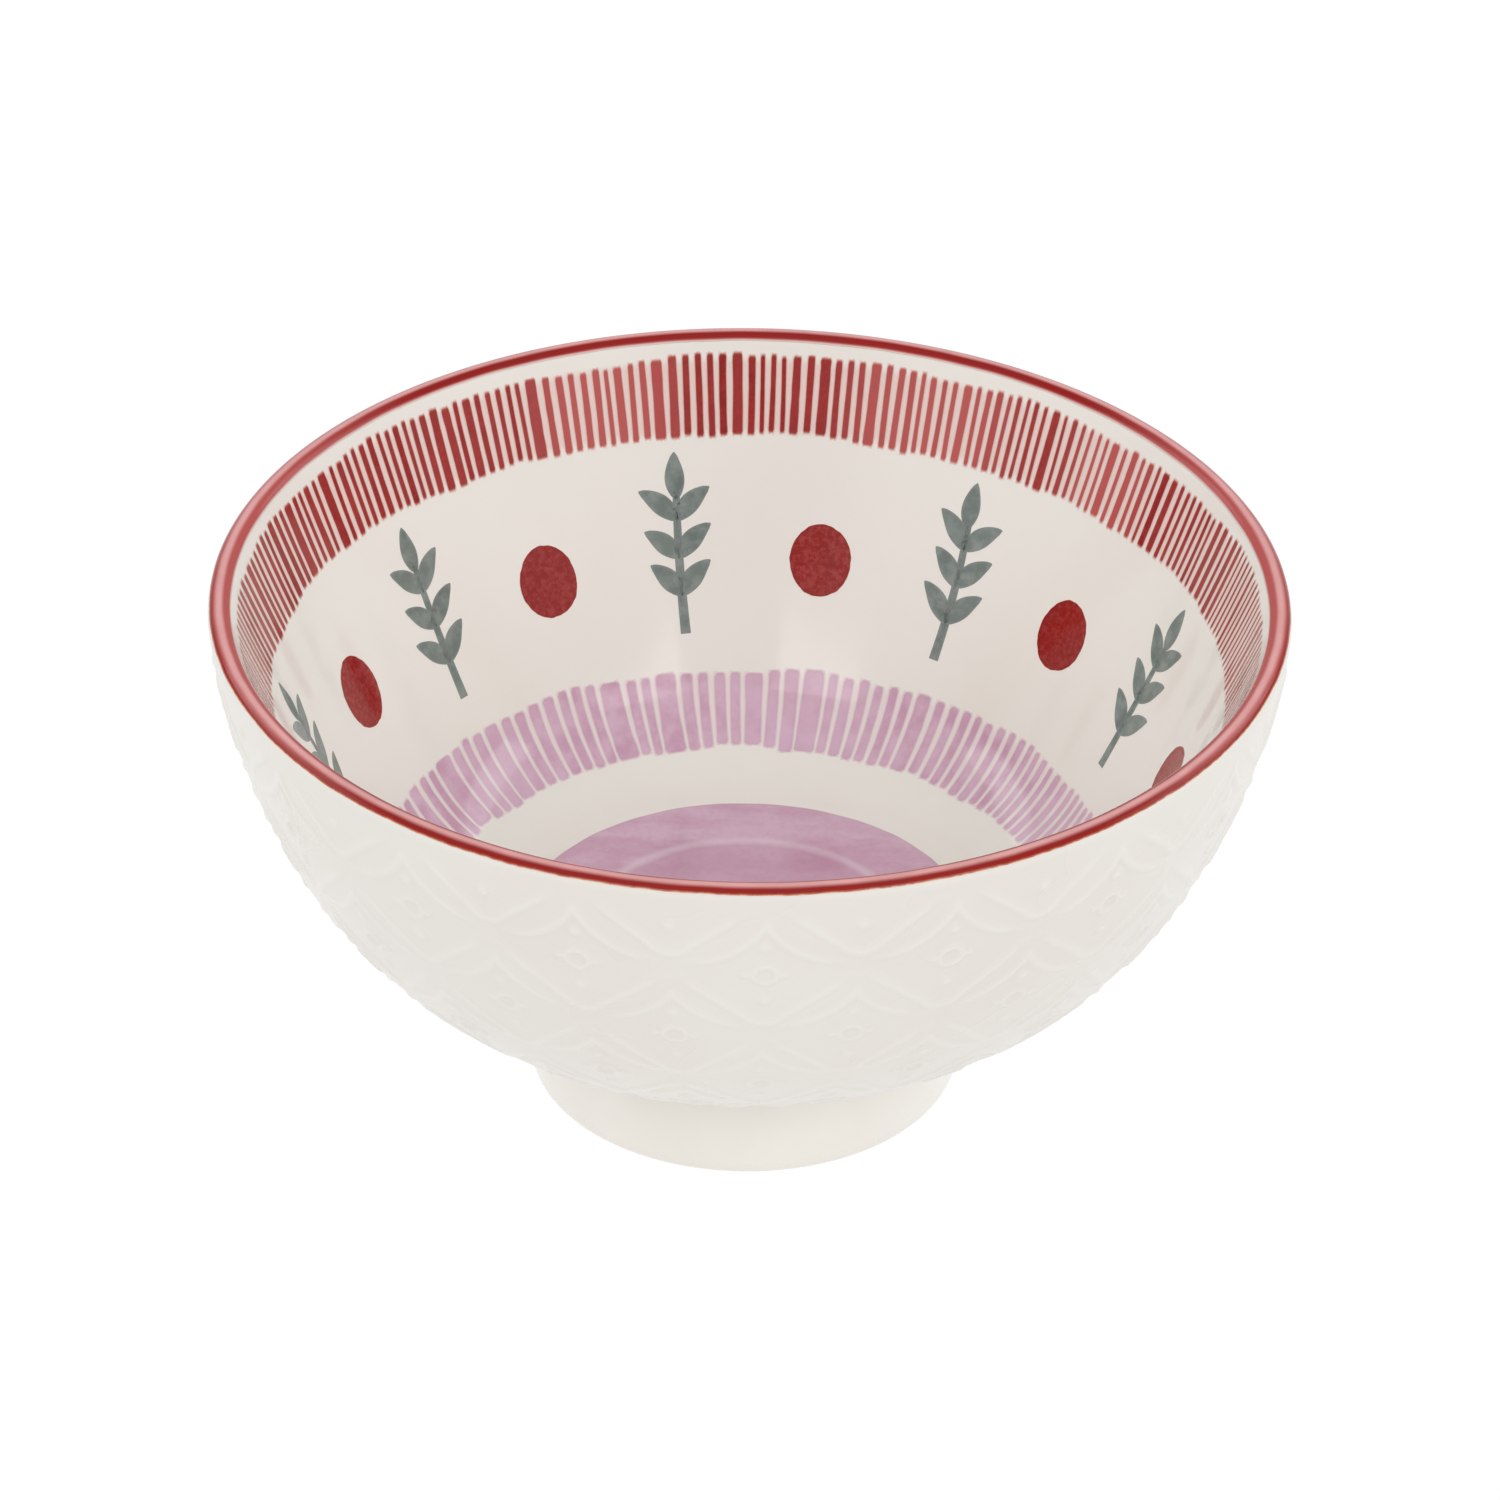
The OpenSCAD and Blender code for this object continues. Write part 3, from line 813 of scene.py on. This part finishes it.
def sprigs(material):
    paint = Paint()
    for i in range(FRIEZE_COUNT):
        turn = (i + 0.5) * 2.0 * math.pi / FRIEZE_COUNT
        t = np.linspace(0.0, 1.0, STEM_ROWS)
        sway = STEM_SWAY * np.sin(math.pi * t) * RNG.uniform(-1.0, 1.0)
        stem = np.column_stack([sway, STEM_LEN * (t - 0.5)])
        strokes = [(stem, 0.5 * STEM_W * (STEM_FOOT - STEM_TAPER * t))]
        for pair in range(1, LEAF_PAIRS + 1):
            base = stem[round((STEM_ROWS - 1) * pair / (LEAF_PAIRS + 1))]
            for side in (-1.0, 1.0):
                lean = math.radians(LEAF_SPREAD + RNG.uniform(-LEAF_SPREAD_SWAY, LEAF_SPREAD_SWAY))
                direction = np.array([side * math.sin(lean), math.cos(lean)])
                length = LEAF_LEN * RNG.uniform(*LEAF_SIZES)
                strokes.append(leaf_stroke(base, direction, length, side * LEAF_BEND))
        upwards = np.array([0.0, 1.0])
        strokes.append(leaf_stroke(stem[-1] - LEAF_W * upwards, upwards, LEAF_LEN, TOP_LEAF_BEND))
        for line, half in strokes:
            flat, rows, cols = brush_stroke(line, half, SPRIG_EDGE)
            faces, rim, edge = strip(rows, cols)
            paint.add(flat, faces, rim, edge, RNG.uniform(0.0, 1.0), FRIEZE_MIDDLE, turn)
    return paint.object("grey_sprigs", material)


# Materials

# How glossy each surface is, as its index of refraction and its lowest and highest roughness
GLAZE_IOR = 1.40
OUTSIDE_IOR = 1.32
LIP_IOR = 1.30
OUTSIDE_ROUGHNESS = (0.26, 0.32)
INSIDE_ROUGHNESS = (0.07, 0.11)
FOOT_ROUGHNESS = (0.14, 0.75)
LIP_ROUGHNESS = (0.12, 0.18)
PAINT_ROUGHNESS = (0.08, 0.12)
# The glaze's faint waves
RIPPLE_SCALE = 220.0
RIPPLE_DETAIL = 2.0
SMOOTH_RIPPLE = 0.015
SOFT_RIPPLE = 0.02
# Stretches of a noise's values that become shares from 0 to 1
CLOUDS = (0.35, 0.7)
WASHES = (0.3, 0.7)
SPECKS = (0.78, 0.84)
SPECK_SHARE = 0.3


class Nodes:
    """A short way to write the nodes of a material or of the room."""

    def __init__(self, owner):
        owner.use_nodes = True
        self.tree = owner.node_tree

    def add(self, kind, settings=None, **inputs):
        node = self.tree.nodes.new(kind)
        for key, value in (settings or {}).items():
            setattr(node, key, value)
        for key, value in inputs.items():
            self.set(node.inputs[key.replace("_", " ")], value)
        return node

    def set(self, socket, value):
        if isinstance(value, bpy.types.NodeSocket):
            self.tree.links.new(value, socket)
        else:
            socket.default_value = value

    def ramp(self, value, low, high, to_low=0.0, to_high=1.0, kind="SMOOTHSTEP"):
        node = self.add("ShaderNodeMapRange", {"interpolation_type": kind}, Value=value)
        node.inputs["From Min"].default_value = low
        node.inputs["From Max"].default_value = high
        node.inputs["To Min"].default_value = to_low
        node.inputs["To Max"].default_value = to_high
        return node.outputs["Result"]

    def rise(self, value, stretch, share=1.0):
        """From 0 to a share over a stretch of values."""
        return self.ramp(value, *stretch, 0.0, share)

    def fall(self, value, stretch, share=1.0):
        """From a share to 0 over a stretch of values."""
        return self.ramp(value, *stretch, share, 0.0)

    def mix(self, share, a, b):
        node = self.add("ShaderNodeMix", {"data_type": "RGBA"})
        self.set(node.inputs[0], share)
        self.set(node.inputs[6], a if isinstance(a, bpy.types.NodeSocket) else (*a, 1.0))
        self.set(node.inputs[7], b if isinstance(b, bpy.types.NodeSocket) else (*b, 1.0))
        return node.outputs[2]

    def math(self, operation, a, b):
        node = self.add("ShaderNodeMath", {"operation": operation})
        self.set(node.inputs[0], a)
        self.set(node.inputs[1], b)
        return node.outputs[0]


class Surface(Nodes):
    """The nodes of a material, coloured by noise, by place or by what the points of a mesh carry."""

    def __init__(self, name):
        self.material = bpy.data.materials.new(name)
        super().__init__(self.material)
        self.shader = self.tree.nodes["Principled BSDF"]

    def noise(self, scale, detail=3.0, roughness=0.55, stretch=(1.0, 1.0, 1.0)):
        place = self.add("ShaderNodeTexCoord").outputs["Object"]
        spread = self.add("ShaderNodeMapping", Vector=place, Scale=stretch)
        noise = self.add(
            "ShaderNodeTexNoise",
            Vector=spread.outputs["Vector"],
            Scale=scale,
            Detail=detail,
            Roughness=roughness,
        )
        return noise.outputs["Fac"]

    def part(self, value, share):
        """A share of a value."""
        return self.math("MULTIPLY", value, share)

    def attribute(self, name):
        return self.add("ShaderNodeAttribute", {"attribute_name": name}).outputs["Fac"]

    def place(self, axis):
        place = self.add("ShaderNodeTexCoord").outputs["Object"]
        return self.add("ShaderNodeSeparateXYZ", Vector=place).outputs[axis]

    def radius(self):
        place = self.add("ShaderNodeTexCoord").outputs["Object"]
        flat = self.add("ShaderNodeMapping", Vector=place, Scale=(1.0, 1.0, 0.0)).outputs["Vector"]
        return self.add("ShaderNodeVectorMath", {"operation": "LENGTH"}, Vector=flat).outputs["Value"]

    def glaze(self, color, uneven, roughness, ripple, ior=GLAZE_IOR):
        """Finishes the shader as a glaze over a colour; its roughness grows with an uneven share."""
        self.set(self.shader.inputs["Base Color"], color)
        self.set(self.shader.inputs["Roughness"], self.ramp(uneven, 0.0, 1.0, *roughness))
        self.shader.inputs["IOR"].default_value = ior
        waves = self.noise(RIPPLE_SCALE, RIPPLE_DETAIL)
        bump = self.add("ShaderNodeBump", Height=waves, Strength=ripple, Distance=MM)
        self.set(self.shader.inputs["Normal"], bump.outputs["Normal"])
        return self.material


CREAM = (0.810, 0.780, 0.717)
CREAM_SHADE = (0.735, 0.672, 0.598)
CREAM_COOL = (0.822, 0.794, 0.738)
OFF_WHITE = (0.742, 0.708, 0.656)
OFF_WHITE_COOL = (0.750, 0.720, 0.676)
RIDGE_PALE = (0.795, 0.772, 0.735)
HOLLOW_DARK = (0.700, 0.645, 0.540)
FOOT_CREAM = (0.790, 0.757, 0.701)
BISCUIT = (0.62, 0.54, 0.44)
RED_DARK = (0.245, 0.008, 0.007)
RED = (0.355, 0.016, 0.013)
LIP_RED = (0.268, 0.006, 0.003)
ROSE = (0.500, 0.098, 0.092)
BLUSH = (0.775, 0.615, 0.572)
CREST_PINK_AND_HIGHLIGHT = (0.692, 0.345, 0.335)
FRINGE = (0.500, 0.130, 0.055)
LILAC = (0.550, 0.315, 0.425)
LILAC_PALE = (0.655, 0.445, 0.560)
LILAC_HIGHLIGHT = (0.720, 0.570, 0.650)
LILAC_DEEP = (0.470, 0.230, 0.340)
LILAC_BLUSH = (0.784, 0.690, 0.678)
GREY = (0.135, 0.165, 0.150)
GREY_PALE = (0.240, 0.275, 0.255)
TABLE_WHITE = (0.92, 0.92, 0.92)
TABLE_PALE = (0.90, 0.90, 0.90)

# Stretches of the lattice's height, where 1 is the top of a line and less than 0 a ring's hollow
RAISED = (0.45, 1.0)
RAISED_SHARE = 0.34
HOLLOW = (-0.4, 0.0)
HOLLOW_SHARE = 0.7

# Stretches across the lip's coat, from its outer edge at 0 to its inner edge at 1
LIP_OUTER_EDGE = (0.0, 0.045)
LIP_OUTER_SHARE = 0.8
LIP_FRINGE = (0.03, 0.11)
LIP_EDGE_SWAY = 0.012
# Stretch across the coat where the painted reflection at the lip's left and right begins
LIP_SIDE_SHEEN_ACROSS = (0.10, 0.30)
# The crest's pink stands for thin colour and a painted highlight together
LIP_CREST_START = (0.215, 0.423)
LIP_CREST_END = (0.50, 0.67)
LIP_CREST_COVER = (1.0, 0.88)
LIP_ROSE = (0.835, 0.93)
LIP_INNER_EDGE = (0.89, 1.0)
LIP_INNER_SHARE = 0.9
# Shares of the lip's radius, left and right, over which a painted reflection turns its colour rose
LIP_SHEEN_SIDES = (0.6, 0.97)
LIP_SHEEN_SIDES_SHARE = 0.8

# Stretches from a stroke's edge at 0 to its inside at 1
STROKE_FRINGE = (0.3, 1.0)
STROKE_BLUR = (0.0, 0.8)
DOT_FRINGE = (0.0, 0.25)
DISC_FRINGE = (0.35, 1.0)
DISC_BLUR = (0.0, 0.6)
WHOLE = (0.0, 1.0)


def glaze_outside():
    """Off-white glaze, paler on raised lines and darker and warmer in the rings' hollows."""
    m = Surface("glaze_outside")
    mark = m.attribute("mark")
    cloud = m.rise(m.noise(scale=28.0), CLOUDS)
    speck = m.rise(m.noise(scale=900.0, detail=1.0), SPECKS, SPECK_SHARE)
    color = m.mix(cloud, OFF_WHITE, OFF_WHITE_COOL)
    color = m.mix(speck, color, CREAM_SHADE)
    # Paler on raised lines and darker and warmer in hollows, following the lattice's height
    color = m.mix(m.rise(mark, RAISED, RAISED_SHARE), color, RIDGE_PALE)
    color = m.mix(m.fall(mark, HOLLOW, HOLLOW_SHARE), color, HOLLOW_DARK)
    return m.glaze(color, cloud, OUTSIDE_ROUGHNESS, SMOOTH_RIPPLE, OUTSIDE_IOR)


def bleed(m, start, length):
    """Share of colour that runs into the glaze between the stripes of a ring."""
    low = INNER.at(start + length)[0][1]
    top = INNER.at(start)[0][1]
    z = m.place("Z")
    above = m.rise(z, (low * MM, (low + BLEED) * MM))
    below = m.fall(z, ((top - BLEED) * MM, top * MM))
    return m.math("MULTIPLY", above, below)


def glaze_inside():
    m = Surface("glaze_inside")
    cloud = m.rise(m.noise(scale=22.0), CLOUDS)
    color = m.mix(cloud, CREAM, CREAM_COOL)
    color = m.mix(bleed(m, UPPER_START, UPPER_LEN), color, BLUSH)
    color = m.mix(bleed(m, LOWER_START, LOWER_LEN), color, LILAC_BLUSH)
    return m.glaze(color, cloud, INSIDE_ROUGHNESS, SMOOTH_RIPPLE)


def glaze_foot():
    """Cream glaze with painted shade towards the table, leaving a bare ring to rest on."""
    m = Surface("glaze_foot")
    cloud = m.rise(m.noise(scale=35.0), CLOUDS)
    sway = BARE_RING_SWAY * MM
    z = m.math("ADD", m.place("Z"), m.ramp(m.noise(scale=180.0), *WASHES, -sway, sway))
    bare = m.fall(z, ((BARE_RING_H - BARE_RING_EDGE) * MM, (BARE_RING_H + BARE_RING_EDGE) * MM))
    # Painted shade: the foot darkens towards the table
    thin = m.fall(z, (BARE_RING_H * MM, FOOT_SHADE_H * MM), FOOT_SHADE_SHARE)
    color = m.mix(cloud, FOOT_CREAM, CREAM_COOL)
    color = m.mix(thin, color, CREAM_SHADE)
    color = m.mix(bare, color, BISCUIT)
    return m.glaze(color, bare, FOOT_ROUGHNESS, SOFT_RIPPLE)


def red_lip():
    """Brick red, pink on the crest of the lip as thin colour with a painted highlight, rose towards its
    left and right as a painted reflection, and orange at its outer edge.
    """
    m = Surface("red_lip_glaze")
    across = m.attribute("mark")
    cloud = m.rise(m.noise(scale=160.0), WASHES)
    color = m.mix(cloud, LIP_RED, RED_DARK)
    # Painted reflection: the lip turns rose towards its left and right ends as the camera sees them
    sideways = m.math("ABSOLUTE", m.place("X"), 0.0)
    thin = m.rise(sideways, [share * RIM_R * MM for share in LIP_SHEEN_SIDES], LIP_SHEEN_SIDES_SHARE)
    thin = m.math("MULTIPLY", thin, m.rise(across, LIP_SIDE_SHEEN_ACROSS))
    color = m.mix(thin, color, ROSE)
    # The crest: thin pink colour with a painted highlight
    crest = m.math("MULTIPLY", m.rise(across, LIP_CREST_START), m.fall(across, LIP_CREST_END))
    crest = m.math("MULTIPLY", crest, m.ramp(cloud, *WHOLE, *LIP_CREST_COVER))
    color = m.mix(crest, color, CREST_PINK_AND_HIGHLIGHT)
    uneven = m.ramp(m.noise(scale=700.0), *WASHES, -LIP_EDGE_SWAY, LIP_EDGE_SWAY)
    uneven = m.math("ADD", across, uneven)
    color = m.mix(m.fall(uneven, LIP_FRINGE), color, FRINGE)
    color = m.mix(m.fall(uneven, LIP_OUTER_EDGE, LIP_OUTER_SHARE), color, CREAM)
    color = m.mix(m.rise(across, LIP_ROSE), color, ROSE)
    color = m.mix(m.rise(across, LIP_INNER_EDGE, LIP_INNER_SHARE), color, CREAM)
    return m.glaze(color, cloud, LIP_ROUGHNESS, SOFT_RIPPLE, LIP_IOR)


def brush_red():
    """Brick red brush colour: thin strokes are rose, and edges soft and orange."""
    m = Surface("brush_red")
    tone = m.attribute("tone")
    edge = m.attribute("edge")
    grain = m.rise(m.noise(scale=1500.0, detail=4.0, roughness=0.65), (0.42, 0.68))
    wash = m.rise(m.noise(scale=260.0), WASHES)
    color = m.mix(m.part(wash, 0.6), RED_DARK, RED)
    color = m.mix(m.part(tone, 0.85), color, ROSE)
    color = m.mix(m.part(grain, 0.12), color, ROSE)
    color = m.mix(m.fall(edge, STROKE_FRINGE, 0.6), color, FRINGE)
    color = m.mix(m.fall(edge, STROKE_BLUR), color, BLUSH)
    return m.glaze(color, wash, PAINT_ROUGHNESS, SMOOTH_RIPPLE)


def dot_red():
    """Brick red of the dots: rose where the brush's grain shows, and dark towards the edge."""
    m = Surface("dot_red")
    tone = m.attribute("tone")
    edge = m.attribute("edge")
    grain = m.rise(m.noise(scale=1300.0, detail=4.0, roughness=0.7), (0.40, 0.66))
    wash = m.rise(m.noise(scale=200.0), CLOUDS)
    color = m.mix(wash, LIP_RED, RED_DARK)
    lift = m.math("MULTIPLY", grain, m.ramp(tone, *WHOLE, 0.10, 0.45))
    color = m.mix(lift, color, ROSE)
    color = m.mix(m.fall(edge, WHOLE, 0.55), color, RED_DARK)
    color = m.mix(m.fall(edge, DOT_FRINGE, 0.6), color, FRINGE)
    return m.glaze(color, wash, PAINT_ROUGHNESS, SMOOTH_RIPPLE)


def brush_lilac():
    m = Surface("brush_lilac")
    tone = m.attribute("tone")
    edge = m.attribute("edge")
    wash = m.rise(m.noise(scale=240.0, detail=4.0, roughness=0.6), WASHES)
    color = m.mix(wash, LILAC, LILAC_PALE)
    color = m.mix(m.part(tone, 0.5), color, LILAC_PALE)
    color = m.mix(m.fall(edge, STROKE_FRINGE, 0.4), color, LILAC_DEEP)
    color = m.mix(m.fall(edge, STROKE_BLUR), color, LILAC_BLUSH)
    return m.glaze(color, wash, PAINT_ROUGHNESS, SMOOTH_RIPPLE)


def floor_lilac():
    """Lilac in broad brush marks, paler outside the sunk middle of the floor as brush wash and painted
    reflection, with a painted highlight along the middle's edge.
    """
    m = Surface("floor_lilac")
    edge = m.attribute("edge")
    wash = m.rise(m.noise(scale=60.0, detail=5.0, roughness=0.6, stretch=(1.0, 2.6, 1.0)), (0.35, 0.68))
    grain = m.rise(m.noise(scale=900.0), (0.4, 0.7))
    r = m.radius()
    outer = m.rise(r, ((WELL_R - WELL_SLOPE) * MM, WELL_R * MM))
    color = m.mix(m.part(wash, 0.45), LILAC, LILAC_PALE)
    # Paler outside the sunk middle: partly brush wash, partly painted reflection
    color = m.mix(m.math("MULTIPLY", outer, m.ramp(wash, *WHOLE, 0.3, 0.95)), color, LILAC_PALE)
    color = m.mix(m.part(grain, 0.18), color, LILAC_DEEP)
    # Painted highlight: a pale line along the edge of the sunk middle
    well_edge_highlight = m.fall(r, (WELL_R * MM, (WELL_R + WELL_SLOPE) * MM), 0.55)
    color = m.mix(m.math("MULTIPLY", outer, well_edge_highlight), color, LILAC_HIGHLIGHT)
    color = m.mix(m.fall(edge, DISC_FRINGE, 0.4), color, LILAC_DEEP)
    color = m.mix(m.fall(edge, DISC_BLUR), color, CREAM)
    return m.glaze(color, wash, INSIDE_ROUGHNESS, SOFT_RIPPLE)


def brush_grey():
    m = Surface("brush_grey")
    tone = m.attribute("tone")
    edge = m.attribute("edge")
    wash = m.rise(m.noise(scale=420.0, detail=4.0, roughness=0.6), CLOUDS)
    color = m.mix(wash, GREY, GREY_PALE)
    color = m.mix(m.part(tone, 0.35), color, GREY_PALE)
    color = m.mix(m.fall(edge, WHOLE, 0.6), color, GREY_PALE)
    return m.glaze(color, wash, PAINT_ROUGHNESS, SMOOTH_RIPPLE)


def white_floor():
    """A lit white table, on which the bowl's shadow is faint."""
    m = Surface("white_floor")
    grain = m.rise(m.noise(scale=3.0), WASHES)
    m.set(m.shader.inputs["Base Color"], m.mix(grain, TABLE_PALE, TABLE_WHITE))
    m.shader.inputs["Roughness"].default_value = TABLE_ROUGHNESS
    glow = m.add("ShaderNodeEmission", Strength=TABLE_LIGHT)
    blend = m.add("ShaderNodeMixShader", Fac=TABLE_GLOW)
    m.set(blend.inputs[1], m.shader.outputs[0])
    m.set(blend.inputs[2], glow.outputs[0])
    m.set(m.tree.nodes["Material Output"].inputs["Surface"], blend.outputs[0])
    return m.material


# Stage, lights and camera


def floor():
    sides = ((-1, -1), (1, -1), (1, 1), (-1, 1))
    corners = [(x * TABLE_HALF_W, y * TABLE_HALF_W, -TABLE_DROP) for x, y in sides]
    make_object("floor", corners, [(0, 1, 2, 3)], [white_floor()])


def world():
    """A pale room, lit more from above and from the camera's side, with a dim opening by the camera."""
    sky = bpy.data.worlds.new("pale_room")
    room = Nodes(sky)
    way = room.add("ShaderNodeTexCoord").outputs["Generated"]
    parts = room.add("ShaderNodeSeparateXYZ", Vector=way).outputs
    fading = room.ramp(parts["Y"], -1.0, ROOM_TURN, ROOM_FRONT, ROOM_BACK, "LINEAR")
    rising = room.ramp(parts["Z"], 0.0, 1.0, ROOM_LOW, ROOM_HIGH, "LINEAR")
    towards = room.add("ShaderNodeVectorMath", {"operation": "DOT_PRODUCT"})
    rise = math.radians(OPENING_ELEVATION)
    room.set(towards.inputs[0], way)
    room.set(towards.inputs[1], (0.0, -math.cos(rise), math.sin(rise)))
    edge = math.cos(math.radians(OPENING_OUTER))
    core = math.cos(math.radians(OPENING_INNER))
    opening = room.ramp(towards.outputs["Value"], edge, core, 1.0, OPENING_SHARE)
    level = room.math("MULTIPLY", room.math("MULTIPLY", fading, rising), opening)
    background = room.tree.nodes["Background"]
    background.inputs["Color"].default_value = (*WHITE_LIGHT, 1.0)
    room.set(background.inputs["Strength"], level)
    bpy.context.scene.world = sky


def soft_box(name, azimuth, elevation, width, height, brightness, color):
    """A lamp that faces the bowl."""
    lamp = bpy.data.lights.new(name, "AREA")
    lamp.shape = "RECTANGLE"
    lamp.size = 2.0 * LAMP_DISTANCE * math.tan(math.radians(width) / 2)
    lamp.size_y = 2.0 * LAMP_DISTANCE * math.tan(math.radians(height) / 2)
    lamp.energy = brightness * math.pi * lamp.size * lamp.size_y
    lamp.color = color
    piece = bpy.data.objects.new(name, lamp)
    bpy.context.collection.objects.link(piece)
    round_bowl = Matrix.Rotation(math.radians(azimuth), 4, "Z")
    tip = Matrix.Rotation(math.radians(90.0 - elevation), 4, "X")
    middle = Matrix.Translation((0.0, 0.0, BOWL_H * MM))
    piece.matrix_world = middle @ round_bowl @ tip @ Matrix.Translation((0.0, 0.0, LAMP_DISTANCE))


def camera():
    data = bpy.data.cameras.new("camera")
    data.sensor_width = SENSOR_MM
    data.lens = FOCAL_PX / PHOTO_PX * SENSOR_MM
    piece = bpy.data.objects.new("camera", data)
    bpy.context.collection.objects.link(piece)
    tilt = math.radians(VIEW_ELEVATION)
    back = VIEW_DISTANCE * MM
    place = (0.0, -back * math.cos(tilt), VIEW_TARGET_Z * MM + back * math.sin(tilt))
    turn = Matrix.Rotation(math.pi / 2 - tilt, 4, "X")
    turn = turn @ Matrix.Rotation(math.radians(VIEW_ROLL), 4, "Z")
    turn = turn @ Matrix.Rotation(-math.radians(VIEW_DROP), 4, "X")
    piece.matrix_world = Matrix.Translation(place) @ turn
    bpy.context.scene.camera = piece


def place_piece(piece, slot, *nodes):
    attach(piece, "root")
    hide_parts(*nodes)


camera()
floor()
world()
for lamp in LAMPS:
    soft_box(*lamp)
bpy.context.scene.view_settings.view_transform = "Standard"

courses = [f"relief_course_{i}" for i in range(1, COURSES + 1)]
place_piece(glazed_body(glaze_outside(), glaze_inside()), "glaze_white", "bowl_wall", *courses)
place_piece(glazed_foot(glaze_foot()), "glaze_foot", "foot_ring")
place_piece(lip_band(red_lip()), "lip_red", "rim_band")
red_places = stripe_places(UPPER_COUNT, **RED_WIDTHS)
upper = stripes("red_stripes", brush_red(), red_places, UPPER_START, UPPER_LEN, THIN_REDS, RED_EDGE)
place_piece(upper, "paint_red", "upper_stripes")
lilac_places = stripe_places(LOWER_COUNT, **LILAC_WIDTHS)
lower = stripes(
    "lilac_stripes", brush_lilac(), lilac_places, LOWER_START, LOWER_LEN, THIN_LILACS, LILAC_EDGE
)
place_piece(lower, "paint_lilac", "lower_stripes")
place_piece(floor_disc(floor_lilac()), "paint_lilac", "floor_disc")
place_piece(dots(dot_red()), "paint_red", "frieze_dots")
place_piece(sprigs(brush_grey()), "paint_grey", "frieze_sprigs")
